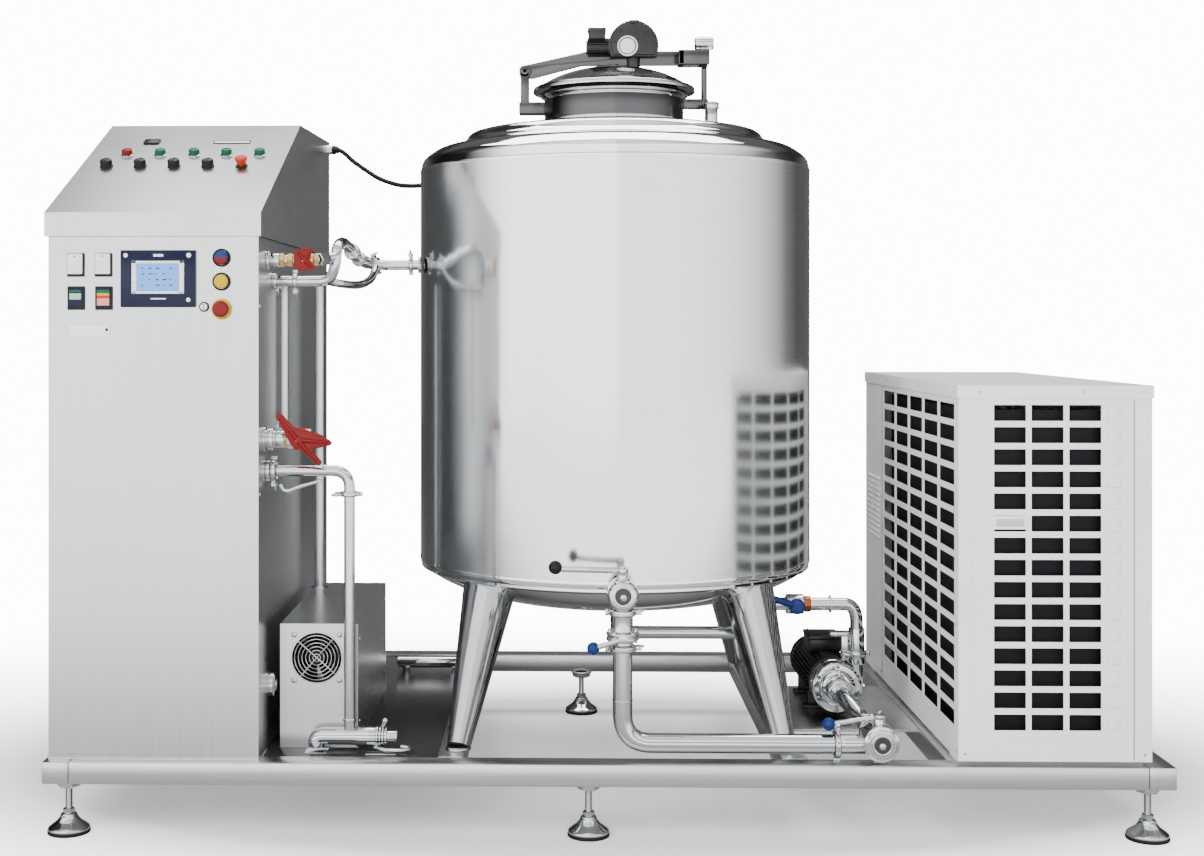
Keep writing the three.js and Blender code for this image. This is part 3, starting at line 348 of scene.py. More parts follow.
STEEL_TONE = (0.66, 0.67, 0.68)
FINE_GRAIN, SLIGHT_COAT = 0.00004, 0.05
BRUSHED_FINISHES = [
    # name, tone, roughness, stretch of the grain, spread of the roughness, depth of the grain
    ("brushed_upright", (0.62, 0.63, 0.64), 0.30, (900.0, 900.0, 3.0), 0.04, 0.00001),
    ("brushed_along_x", STEEL_TONE, 0.30, (2.2, 420.0, 420.0)),
    ("brushed_along_y", STEEL_TONE, 0.30, (420.0, 2.2, 420.0)),
    ("tank_shell", (0.74, 0.75, 0.76), 0.14, (6.0, 6.0, 900.0), 0.03, 0.00001),
    # near-black stainless steel: painted shade for the lid arm, swing bolt, hinge bracket, clamp lug and neck
    # ring
    ("steel_darkened_for_painted_shade", (0.085, 0.087, 0.09), 0.22, (260.0, 30.0, 260.0), 0.05, 0.00002),
    ("satin_cast", (0.045, 0.046, 0.048), 0.40, (90.0, 90.0, 90.0), 0.08, 0.0001),
    ("coil", (0.020, 0.021, 0.023), 0.6, (900.0, 900.0, 2.0), 0.1, 0.0003),
]
POLISHED_FINISHES = [
    # name, tone, roughness
    ("polished", (0.58, 0.59, 0.60), 0.07),
    # darker than the other polished steel: painted shade on the tank legs
    ("leg_steel_painted_shade", (0.36, 0.365, 0.37), 0.09),
    ("mirror", (0.84, 0.85, 0.86), 0.05),
    ("brass", (0.78, 0.52, 0.22), 0.18),
    ("copper", (0.30, 0.075, 0.03), 0.25),
]
PAINTED_FINISHES = [
    # name, tone, roughness, depth of the orange peel, grime
    ("white_enamel", (0.90, 0.91, 0.90), 0.38),
    ("black_enamel", (0.018, 0.018, 0.02), 0.35),
    ("dark_deck", (0.035, 0.035, 0.038), 0.16, 0.0002, 0.3),
    ("grey_enamel", (0.5, 0.51, 0.52), 0.45),
]
MOULDED_FINISHES = [
    # name, tone, roughness, depth of the grain, clear coat
    ("black_rubber", (0.009, 0.009, 0.010), 0.62, 0.00008),
    ("black_plastic", (0.007, 0.007, 0.008), 0.34),
    ("red_plastic", (0.155, 0.0016, 0.0012), 0.30, FINE_GRAIN, SLIGHT_COAT),
    ("orange_paint", (0.50, 0.020, 0.0008), 0.30, FINE_GRAIN, SLIGHT_COAT),
    ("pale_green", (0.30, 0.50, 0.38), 0.3, FINE_GRAIN, SLIGHT_COAT),
    ("pale_red", (0.80, 0.25, 0.21), 0.3, FINE_GRAIN, SLIGHT_COAT),
    ("green_plastic", (0.0, 0.080, 0.032), 0.28, FINE_GRAIN, SLIGHT_COAT),
    ("blue_plastic", (0.004, 0.022, 0.125), 0.30, FINE_GRAIN, SLIGHT_COAT),
    ("yellow_plastic", (0.52, 0.34, 0.001), 0.30, FINE_GRAIN, SLIGHT_COAT),
    ("white_plastic", (0.82, 0.83, 0.82), 0.34),
    ("navy_panel", (0.0022, 0.0045, 0.024), 0.26, FINE_GRAIN, SLIGHT_COAT),
    ("foam", (0.78, 0.68, 0.40), 0.85, 0.0003),
]


def make_materials():
    """Every finish by its name."""
    made = {"screen": glowing("screen", (0.085, 0.25, 0.62), 0.75)}
    for make, finishes in ((brushed_metal, BRUSHED_FINISHES), (polished_metal, POLISHED_FINISHES),
                           (painted, PAINTED_FINISHES), (moulded, MOULDED_FINISHES)):
        for name, *look in finishes:
            made[name] = make(name, *look)
    return made


# ------------------------------------------------------------- shapes
SHARP_ANGLE = 32


def rounded(points, radius, steps=3):
    """The same outline with each inner corner rounded off; works in two or three dimensions."""
    corners = [Vector(point) for point in points]
    result = [corners[0]]
    for before, corner, after in zip(corners, corners[1:], corners[2:]):
        enter, leave = before - corner, after - corner
        if min(enter.length, leave.length) < 1e-6:
            result.append(corner)
            continue
        first = corner + enter.normalized() * min(radius, enter.length * 0.49)
        last = corner + leave.normalized() * min(radius, leave.length * 0.49)
        for step in range(steps + 1):
            t = step / steps
            result.append(first * (1 - t) ** 2 + corner * 2 * t * (1 - t) + last * t * t)
    result.append(corners[-1])
    return [tuple(point) for point in result]


def smooth_path(points, steps=8):
    """A smooth curve through the points, each stretch cut into the same number of steps."""
    spots = [Vector(point) for point in points]
    spots = [spots[0] * 2 - spots[1], *spots, spots[-1] * 2 - spots[-2]]
    result = []
    for a, b, c, d in zip(spots, spots[1:], spots[2:], spots[3:]):
        for step in range(steps):
            t = step / steps
            result.append((b * 2 + (c - a) * t + (a * 2 - b * 5 + c * 4 - d) * t * t
                           + (b * 3 - a - c * 3 + d) * t ** 3) * 0.5)
    result.append(spots[-2])
    return result


def spin(degrees, axis):
    """A turn about one of the main axes."""
    return Matrix.Rotation(math.radians(degrees), 4, axis)


def aim(start, end):
    """Matrix that takes the Z axis to the line from start to end."""
    start = Vector(start)
    turn = (Vector(end) - start).to_track_quat("Z", "Y").to_matrix().to_4x4()
    return Matrix.Translation(start) @ turn


class Shape:
    """Geometry gathered into one mesh before it becomes a piece."""

    def __init__(self):
        self.bm = bmesh.new()

    def take(self, part, place=None):
        """Adds a finished part, moved to its place."""
        if place is not None:
            part.transform(place)
        bmesh.ops.recalc_face_normals(part, faces=part.faces[:])
        mesh = bpy.data.meshes.new("part")
        part.to_mesh(mesh)
        part.free()
        self.bm.from_mesh(mesh)
        bpy.data.meshes.remove(mesh)
        return self

    def box(self, low, high, edge=0.0008, place=None):
        """A block between two corners, with softened edges."""
        part = bmesh.new()
        bmesh.ops.create_cube(part, size=1.0)
        low, high = Vector(low), Vector(high)
        bmesh.ops.scale(part, vec=high - low, verts=part.verts)
        bmesh.ops.translate(part, vec=(low + high) / 2, verts=part.verts)
        if edge:
            bmesh.ops.bevel(part, geom=part.edges[:], offset=edge, segments=2, profile=0.5, affect="EDGES")
        return self.take(part, place)

    def turned(self, profile, place=None, sides=48):
        """Pairs of radius and height turned round the Z axis; a closed profile makes a ring."""
        part = bmesh.new()
        turns = [2 * math.pi * index / sides for index in range(sides)]
        closed = Vector(profile[0]).to_tuple(6) == Vector(profile[-1]).to_tuple(6)
        rings = []
        for radius, height in (profile[:-1] if closed else profile):
            if radius < 1e-6:
                rings.append([part.verts.new((0, 0, height))])
            else:
                rings.append([part.verts.new((radius * math.cos(t), radius * math.sin(t), height))
                              for t in turns])
        if closed:
            rings.append(rings[0])
        for lower, upper in zip(rings, rings[1:]):
            for i in range(sides):
                j = (i + 1) % sides
                corners = [lower[i % len(lower)], lower[j % len(lower)], upper[j % len(upper)],
                           upper[i % len(upper)]]
                corners = list(dict.fromkeys(corners))
                if len(corners) > 2:
                    part.faces.new(corners)
        return self.take(part, place)

    def rod(self, start, end, radius, end_radius=None, edge=0.0008, sides=32):
        """A round bar between two points, straight or tapered."""
        end_radius = radius if end_radius is None else end_radius
        length = (Vector(end) - Vector(start)).length
        outline = rounded([(0, 0), (radius, 0), (end_radius, length), (0, length)], edge, 2)
        return self.turned(outline, aim(start, end), sides)

    def ring(self, start, end, inner, outer, edge=0.0006, sides=40):
        """A bush or washer between two points."""
        length = (Vector(end) - Vector(start)).length
        middle = (inner + outer) / 2
        outline = rounded([(middle, 0), (outer, 0), (outer, length), (inner, length), (inner, 0),
                           (middle, 0)], edge, 2)
        return self.turned(outline, aim(start, end), sides)

    def ball(self, centre, radius, squash=1.0, sides=28):
        """A ball, or a flattened one, built up from fifteen rings."""
        arc = [math.pi * index / 14 for index in range(15)]
        outline = [(radius * math.sin(t), -radius * squash * math.cos(t)) for t in arc]
        return self.turned(outline, Matrix.Translation(centre), sides)

    def tube(self, points, radius, sides=20, end_radius=None):
        """A round bar or pipe that follows the points, with flat ends."""
        part = bmesh.new()
        spots = [Vector(point) for point in points]
        ways = [(after - before).normalized() for before, after in zip(spots, spots[1:])]
        ways = [ways[0], *[(a + b).normalized() for a, b in zip(ways, ways[1:])], ways[-1]]
        side = ways[0].orthogonal().normalized()
        rings = []
        for index, (spot, way) in enumerate(zip(spots, ways)):
            side = (side - way * side.dot(way)).normalized()
            other = way.cross(side)
            share = index / (len(spots) - 1)
            reach = radius if end_radius is None else radius * (1 - share) + end_radius * share
            rings.append([
                part.verts.new(spot + (side * math.cos(t) + other * math.sin(t)) * reach)
                for t in (2 * math.pi * step / sides for step in range(sides))
            ])
        for lower, upper in zip(rings, rings[1:]):
            for i in range(sides):
                j = (i + 1) % sides
                part.faces.new((lower[i], lower[j], upper[j], upper[i]))
        part.faces.new(rings[0])
        part.faces.new(rings[-1])
        return self.take(part)

    def plate(self, outline, depth, place=None, edge=0.0006):
        """A flat outline in X and Y, given thickness along Z."""
        part = bmesh.new()
        face = part.faces.new([part.verts.new((x, y, 0)) for x, y in outline])
        grown = bmesh.ops.extrude_face_region(part, geom=[face])
        risen = [item for item in grown["geom"] if isinstance(item, bmesh.types.BMVert)]
        bmesh.ops.translate(part, vec=(0, 0, depth), verts=risen)
        if edge:
            rims = [item for item in part.edges if item.is_manifold and item.calc_face_angle(0) > 1.0]
            bmesh.ops.bevel(part, geom=rims, offset=edge, segments=2, profile=0.5, affect="EDGES")
        return self.take(part, place)

    def piece(self, name, material, body=ROOT, slot="brushed_steel", replaces=(), sharp=SHARP_ANGLE):
        """Turns the gathered mesh into a named object that rides on a body."""
        mesh = bpy.data.meshes.new(name)
        self.bm.to_mesh(mesh)
        self.bm.free()
        mesh.materials.append(material)
        mesh.shade_smooth()
        mesh.set_sharp_from_angle(angle=math.radians(sharp))
        made = bpy.data.objects.new(name, mesh)
        SCENE.collection.objects.link(made)
        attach(made, body)
        if replaces:
            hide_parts(*replaces)
        return made


def hex_nut(shape, start, end, across, bore=0.0):
    """A six-sided nut between two points."""
    length = (Vector(end) - Vector(start)).length
    reach = across / math.sqrt(3)
    rim = min(length * 0.2, across * 0.06)
    outline = [(bore, 0), (reach - rim, 0), (reach, rim), (reach, length - rim), (reach - rim, length),
               (bore, length)]
    if bore:
        outline.append((bore, 0))
    return shape.turned(outline, aim(start, end), 6)


def dome_screw(shape, spot, way, radius):
    """A domed screw head standing on a surface, with its cross recess."""
    place = aim(spot, Vector(spot) + Vector(way))
    arc = [math.pi / 2 * index / 6 for index in range(7)]
    outline = [(radius, -0.0005),
               *[(radius * math.cos(t), radius * 0.55 * math.sin(t)) for t in arc[:-1]]]
    outline.append((0, radius * 0.55))
    shape.turned(outline, place, 24)
    reach, top = radius * 0.45, radius * 0.57
    for turn in (0, math.pi / 2):
        arm = Matrix.Rotation(turn, 4, "Z")
        shape.box((-reach, -radius * 0.07, top * 0.8), (reach, radius * 0.07, top), 0, place @ arm)


def pipe_clamp(shape, centre, way, radius, turn=0.0, width=0.013):
    """A hinged two-part pipe clamp with its wing nut, round a ferrule pair."""
    centre, way = Vector(centre), Vector(way).normalized()
    start, end = centre - way * width / 2, centre + way * width / 2
    outline = rounded([
        (radius * 0.82, 0), (radius * 0.9, -0.0006), (radius, width * 0.18), (radius, width * 0.82),
        (radius * 0.9, width + 0.0006), (radius * 0.82, width), (radius * 0.82, 0),
    ], 0.001, 2)
    place = aim(start, end)
    shape.turned(outline, place, 40)
    about = place @ spin(turn, "Z")
    middle = width / 2
    shape.box((radius * 0.92, -0.006, middle - 0.005), (radius + 0.011, 0.006, middle + 0.005), 0.001, about)
    bolt = [about @ Vector((radius + 0.006, y, middle)) for y in (-0.017, 0.024)]
    shape.rod(bolt[0], bolt[1], 0.003, sides=14)
    wing = about @ Vector((radius + 0.006, 0.018, middle))
    for side in (-1, 1):
        tip = about @ Vector((radius + 0.006 + side * 0.011, 0.024, middle))
        shape.tube([wing, tip], 0.0042, 12, 0.0028)
    shape.ball(wing, 0.0062, 0.8, 16)
    hinge = [about @ Vector((-radius - 0.003, 0, z)) for z in (-0.001, width + 0.001)]
    shape.rod(hinge[0], hinge[1], 0.0042, sides=14)


def soften_cad(node, material, width):
    """Gives a CAD piece its finish and softened edges."""
    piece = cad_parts[node]
    piece.data.materials.clear()
    piece.data.materials.append(material)
    soften = piece.modifiers.new("soft_edges", "BEVEL")
    soften.width = width
    soften.segments = 2
    soften.limit_method = "ANGLE"
    soften.angle_limit = math.radians(SHARP_ANGLE)
    soften.harden_normals = False


# ------------------------------------------------------------- skid
FOOT_COLUMNS = {"left": -1.202, "middle": -0.036, "right": 1.202}
FOOT_ROWS = {"front": -0.577, "rear": 0.577}
CROSS_RAILS = (-0.830, -0.375, 0.395, 0.760)
DECK_TOP = 0.165


def four_strips(shape, low, high, wide, tall, depths, edge, place):
    """A flat rectangular frame: strips of a width at the sides and a height at bottom and top."""
    (left, bottom), (right, top) = low, high
    for start, end in (((left, bottom), (right, bottom + tall)), ((left, top - tall), (right, top)),
                       ((left, bottom), (left + wide, top)), ((right - wide, bottom), (right, top))):
        shape.box((*start, depths[0]), (*end, depths[1]), edge, place)
    return shape


def weld_bead(shape, start, end, radius):
    """A small round fillet along a joint."""
    start, end = Vector(start), Vector(end)
    count = max(4, int((end - start).length / 0.004))
    path = [start.lerp(end, index / count) for index in range(count + 1)]
    return shape.tube(path, radius, 10)


def make_skid(m):
    """Square tube frame, pump plate, foot nuts and weld beads."""
    low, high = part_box("base_frame")
    under = RAIL_TOP - 0.050
    width = 0.060
    edge = 0.004
    long_rails = Shape()
    for y in (low.y, high.y - width):
        long_rails.box((low.x + width, y, under), (high.x - width, y + width, RAIL_TOP), edge)
    long_rails.piece("skid_long_rails", m["brushed_along_x"], replaces=("base_frame",))
    cross = Shape()
    for x in CROSS_RAILS:
        cross.box((x, low.y + width, under), (x + width, high.y - width, RAIL_TOP), edge)
    for x in (low.x, high.x - width):
        cross.box((x, low.y, under), (x + width, high.y, RAIL_TOP), edge)
    cross.box((0.455, -0.300, RAIL_TOP - 0.006), (0.760, 0.170, RAIL_TOP), 0.0008)
    cross.piece("skid_cross_rails", m["brushed_along_y"])
    beads = Shape()
    for x in CROSS_RAILS:
        for edge_x in (x, x + width):
            for y in (low.y + width, high.y - width):
                weld_bead(beads, (edge_x, y, under + 0.004), (edge_x, y, RAIL_TOP - 0.004), 0.0016)
    for spot_x in FOOT_COLUMNS.values():
        for spot_y in FOOT_ROWS.values():
            hex_nut(beads, (spot_x, spot_y, under - 0.016), (spot_x, spot_y, under + 0.001), 0.046, 0.0095)
            beads.ring((spot_x, spot_y, under - 0.004), (spot_x, spot_y, under + 0.001), 0.0095, 0.030)
    beads.piece("foot_nuts_and_welds", m["polished"])


def make_feet(m):
    """Six levelling feet: bell, threaded stud and rubber pad on one sliding body each."""
    for side, y in FOOT_ROWS.items():
        for column, x in FOOT_COLUMNS.items():
            name = f"foot_{side}_{column}"
            at = Matrix.Translation((x, y, 0))
            bell = Shape()
            outline = [
                (0, 0.006), (0.0445, 0.006), (0.0465, 0.009), (0.046, 0.013), (0.038, 0.019), (0.027, 0.027),
                (0.020, 0.036), (0.0175, 0.043), (0.014, 0.045), (0, 0.045),
            ]
            bell.turned(rounded(outline, 0.002, 2), at, 48)
            hex_nut(bell, (x, y, 0.045), (x, y, 0.055), 0.024)
            bell.piece(f"{name}_bell", m["polished"], name, "foot_steel", (name,))
            stud = Shape()
            pitch, count = 0.002, 47
            thread = [(0, 0.052)]
            for turn in range(count):
                height = 0.054 + turn * pitch
                thread += [(0.0068, height), (0.0079, height + pitch / 2)]
            thread += [(0.0068, 0.054 + count * pitch), (0, 0.054 + count * pitch)]
            stud.turned(thread, at, 24)
            stud.piece(f"{name}_stud", m["polished"], name, "foot_steel", sharp=20)
            pad = Shape()
            pad.turned(rounded([(0, 0), (0.047, 0), (0.0478, 0.006), (0.044, 0.0085), (0, 0.0085)],
                               0.0015, 2), at, 48)
            pad.piece(f"{name}_pad", m["black_rubber"], name, "foot_steel")


def make_deck(m):
    """The dark deck sheet and the round bar along its rear edge."""
    low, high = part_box("deck_plate")
    deck = Shape().box(low, high, 0.0006)
    deck.piece("deck_sheet", m["dark_deck"], slot="dark_sheet", replaces=("deck_plate",))
    trim = Shape()
    bar_y = 0.395
    trim.rod((-0.560, bar_y, 0.184), (high.x + 0.004, bar_y, 0.184), 0.016, edge=0.003)
    for x in (-0.545, high.x - 0.03):
        trim.box((x, bar_y - 0.012, high.z - 0.0005), (x + 0.02, bar_y + 0.012, 0.176), 0.001)
    trim.piece("deck_rear_bar", m["polished"])


# ------------------------------------------------------------- tank
def tank_outline():
    """Outer outline of the jacket: dished bottom, straight shell, rolled shoulder and stepped dome."""
    bottom = rounded([
        (0.0, 0.4300), (0.180, 0.4345), (0.330, 0.455), (0.424, 0.4855), (0.4965, 0.528), (0.4995, SHELL_LOW),
    ], 0.05, 5)
    top = rounded([
        (0.4995, SHELL_HIGH), (0.4925, 1.560), (0.458, 1.585), (0.402, 1.600), (0.386, 1.606), (0.374, 1.628),
        (0.300, 1.6405), (0.1795, 1.660),
    ], 0.012, 4)
    return bottom, top


def make_jacket(m):
    """The mirror-finished ends, the brushed shell between two beads, and the vent."""
    bottom, top = tank_outline()
    ends = Shape()
    ends.turned([*bottom, (0.4965, SHELL_LOW), (0.4965, 0.528), (0.42, 0.490), (0.0, 0.434)], TANK_AXIS,
                TANK_SIDES)
    lip = 0.004
    inner_top = [(radius - 0.003, height - 0.003) for radius, height in reversed(top)]
    ends.turned([*top, *inner_top, top[0]], TANK_AXIS, TANK_SIDES)
    for radius, height in ((0.4995, SHELL_LOW), (0.4995, SHELL_HIGH)):
        bead = [(radius - lip, height - 0.004), (radius, height - 0.004), (radius + 0.0006, height),
                (radius, height + 0.004), (radius - lip, height + 0.004), (radius - lip, height - 0.004)]
        ends.turned(bead, TANK_AXIS, TANK_SIDES)
    ends.piece("jacket_ends", m["mirror"], replaces=("outer_jacket",), slot="polished_steel", sharp=40)
    shell = Shape()
    wall = [(0.4955, SHELL_LOW + 0.002), (0.4990, SHELL_LOW + 0.002), (0.4990, SHELL_HIGH - 0.002),
            (0.4955, SHELL_HIGH - 0.002), (0.4955, SHELL_LOW + 0.002)]
    shell.turned(wall, TANK_AXIS, TANK_SIDES)
    shell.piece("jacket_shell", m["tank_shell"], sharp=40)
    vent = Shape()
    spot = (TANK_X + 0.245, -0.070)
    vent.rod((*spot, 1.640), (*spot, 1.690), 0.0165)
    vent.rod((*spot, 1.688), (*spot, 1.705), 0.0195, edge=0.003)
    vent.ring((*spot, 1.645), (*spot, 1.651), 0.012, 0.021)
    vent.piece("vent_stub", m["polished"])


def make_vessel(m):
    """The inner vessel with its neck, a dark ring of painted shade round the neck, hinge bracket and clamp
    lug.
    """
    outside = [
        (0, 0.481), (0.250, 0.4975), (0.40, 0.531), (0.449, 0.570), (0.449, 1.505), (0.410, 1.560),
        (0.340, 1.575),
        (NECK_RADIUS, 1.612), (NECK_RADIUS, 1.723), (0.1890, 1.7255), (0.1900, 1.7345), (NECK_BORE, 1.7345),
    ]
    inside = [
        (NECK_BORE, 1.606), (0.336, 1.571), (0.405, 1.556), (0.445, 1.503), (0.445, 0.572), (0.397, 0.535),
        (0.248, 0.5015), (0, 0.485),
    ]
    shell = Shape()
    shell.turned(rounded([*outside, *inside], 0.02, 4), TANK_AXIS, 128)
    shell.ring((TANK_X, 0, 1.659), (TANK_X, 0, 1.664), 0.176, 0.1815, sides=96)
    shell.rod((TANK_X + 0.05, 0, 0.484), (TANK_X + 0.05, 0, 0.502), 0.022, 0.018)
    shell.rod((TANK_X, RETURN_Y, 0.4048), (TANK_X, RETURN_Y, 0.484), 0.016)
    shell.rod((TANK_X, -0.400, OUTLET_Z), (TANK_X, -0.541, OUTLET_Z), 0.022)
    shell.piece("vessel_and_neck", m["polished"], slot="polished_steel", replaces=("inner_vessel",), sharp=40)
    # a dark steel ring round the neck: painted shade under the lid's rim
    band = Shape().ring((TANK_X, 0, 1.6635), (TANK_X, 0, 1.7235), NECK_RADIUS - 0.001, NECK_RADIUS + 0.0012,
                        sides=128)
    band.piece("neck_painted_shade_ring", m["steel_darkened_for_painted_shade"], slot="polished_steel")
    bracket = Shape()
    x, z, half = HINGE_X, HINGE_Z, 0.022
    bracket.box((x - 0.015, -half, 1.684), (TANK_X - 0.176, half, 1.714), 0.002)
    for low, high in ((-half, -half + 0.012), (half - 0.012, half)):
        bracket.box((x - 0.011, low, 1.712), (x + 0.011, high, z), 0.001)
        bracket.rod((x, low, z), (x, high, z), 0.015, edge=0.001)
    bracket.rod((x, -half - 0.004, z), (x, half + 0.004, z), 0.006)
    bracket.rod((x, -half - 0.004, z), (x, -half - 0.0005, z), 0.0095)
    bracket.box((x - 0.004, -half - 0.0005, 1.700), (x + 0.022, -half + 0.001, 1.704), 0)
    # the bracket's near-black steel is painted shade
    bracket.piece("lid_hinge_bracket", m["steel_darkened_for_painted_shade"])
    lug = Shape()
    for low, high in ((-0.015, -0.0085), (0.0085, 0.015)):
        lug.box((TANK_X + 0.177, low, 1.698), (BOLT_X + 0.004, high, 1.722), 0.002)
    lug.rod((BOLT_X, -0.017, BOLT_PIVOT_Z), (BOLT_X, 0.017, BOLT_PIVOT_Z), 0.004)
    for side in (-1, 1):
        lug.rod((BOLT_X, side * 0.015, BOLT_PIVOT_Z), (BOLT_X, side * 0.0185, BOLT_PIVOT_Z), 0.0065)
    # the lug's near-black steel is painted shade
    lug.piece("clamp_lug", m["steel_darkened_for_painted_shade"])


def make_legs(m):
    """Four tapered legs, leaning in under the tank."""
    for corner, side_x, side_y in (("front_left", -1, -1), ("front_right", 1, -1), ("rear_left", -1, 1),
                                   ("rear_right", 1, 1)):
        foot = Vector((TANK_X + side_x * 0.372, side_y * 0.500, RAIL_TOP + GAP))
        head = Vector((TANK_X + side_x * 0.310, side_y * 0.300, 0.500))
        leg = Shape()
        leg.tube([foot.lerp(head, 0.02), foot.lerp(head, 0.5), head], 0.0270, 40, 0.063)
        leg.rod(foot, foot + Vector((0, 0, 0.008)), 0.0300, 0.0285, 0.002)
        # the legs' darker steel is painted shade
        leg.piece(f"leg_{corner}", m["leg_steel_painted_shade"], slot="polished_steel",
                  replaces=(f"tank_leg_{corner}",), sharp=50)


# ------------------------------------------------------------- manway
def make_seal(m):
    """The rubber ring between the neck flange and the lid."""
    seal = Shape()
    section = [(0.1733, 1.7356), (0.1877, 1.7356), (0.1877, 1.7373), (0.1733, 1.7373), (0.1733, 1.7356)]
    seal.turned(section, TANK_AXIS, 96)
    seal.piece("manway_gasket", m["black_rubber"], "machine", "rubber", ("lid_seal",))


def make_lid(m):
    """The dished manway lid with its turned-down rim."""
    outside = [
        (0.2085, 1.7385), (0.2088, 1.7465), (0.206, 1.7500), (0.191, 1.7550), (0.166, 1.7695),
        (0.138, 1.7822), (0.108, 1.7918), (0.078, 1.7986), (0.045, 1.8030), (0.016, 1.8056), (0, 1.8060),
    ]
    inside = [(0, 1.8035), (0.078, 1.7950), (0.138, 1.7785), (0.166, 1.7655), (0.186, 1.7500),
              (0.205, 1.7460), (0.2055, 1.7385), (0.2085, 1.7385)]
    lid = Shape()
    lid.turned([*rounded(outside, 0.006, 3), *inside], TANK_AXIS, 128)
    lid.piece("lid_dome", m["polished"], "lid", "polished_steel", ("manway_lid",), sharp=40)


def make_arm(m):
    """The flat bar that carries the lid, with its hinge eye and the fork for the bolt."""
    low, high, half = 1.8095, 1.8465, 0.006
    arm = Shape()
    outline = [(-0.244, 1.784), (-0.212, 1.776), (-0.082, low), (0.180, low), (0.180, high), (-0.070, high),
               (-0.236, 1.810)]
    upright = Matrix.Translation((TANK_X, half, 0)) @ spin(90, "X")
    arm.plate(outline, 2 * half, upright, 0.0015)
    arm.rod((HINGE_X, -0.0095, HINGE_Z), (HINGE_X, 0.0095, HINGE_Z), 0.014, edge=0.001)
    arm.box((TANK_X + 0.166, -0.030, low), (TANK_X + 0.180, 0.030, high), 0.0015)
    for low_y, high_y in ((-0.030, -0.019), (0.019, 0.030)):
        arm.box((TANK_X + 0.166, low_y, low), (TANK_X + 0.245, high_y, high), 0.002)
    arm.rod((TANK_X, 0, 1.8075), (TANK_X, 0, low + 0.004), 0.0125)
    arm.ring((TANK_X, 0, 1.8068), (TANK_X, 0, 1.8082), 0.010, 0.021, 0.0004)
    # the arm's near-black steel is painted shade
    arm.piece("lid_arm_bar", m["steel_darkened_for_painted_shade"], "lid", "polished_steel", ("lid_arm",))


def make_bolt(m):
    """The threaded swing bolt and its hand nut."""
    bolt = Shape()
    bolt.rod((BOLT_X, -0.008, BOLT_PIVOT_Z), (BOLT_X, 0.008, BOLT_PIVOT_Z), 0.012, edge=0.001)
    pitch, first = 0.0018, 1.800
    count = 32
    thread = [(0, 1.7155), (0.0079, 1.7155), (0.0079, first)]
    for turn in range(count):
        thread += [(0.0070, first + (turn + 0.25) * pitch), (0.0079, first + (turn + 0.75) * pitch)]
    thread += [(0.0070, 1.8583), (0, 1.8585)]
    bolt.turned(thread, Matrix.Translation((BOLT_X, 0, 0)), 20)
    # the shank's near-black steel is painted shade
    bolt.piece("bolt_shank", m["steel_darkened_for_painted_shade"], "swing_bolt", "polished_steel", ("swing_bolt",), sharp=20)
    handle = Shape()
    half = 0.0245
    grip = rounded([(0, -half), (0.0165, -half), (0.017, -0.006), (0.017, 0.006), (0.0165, half), (0, half)],
                   0.005, 4)
    handle.turned(grip, aim((BOLT_X, 0, 1.867), (BOLT_X + 1, 0, 1.867)), 40)
    handle.ring((BOLT_X, 0, 1.8500), (BOLT_X, 0, 1.8525), 0.0084, 0.0140)
    handle.piece("clamp_hand_nut", m["polished"], "t_handle", "polished_steel", ("t_handle",))


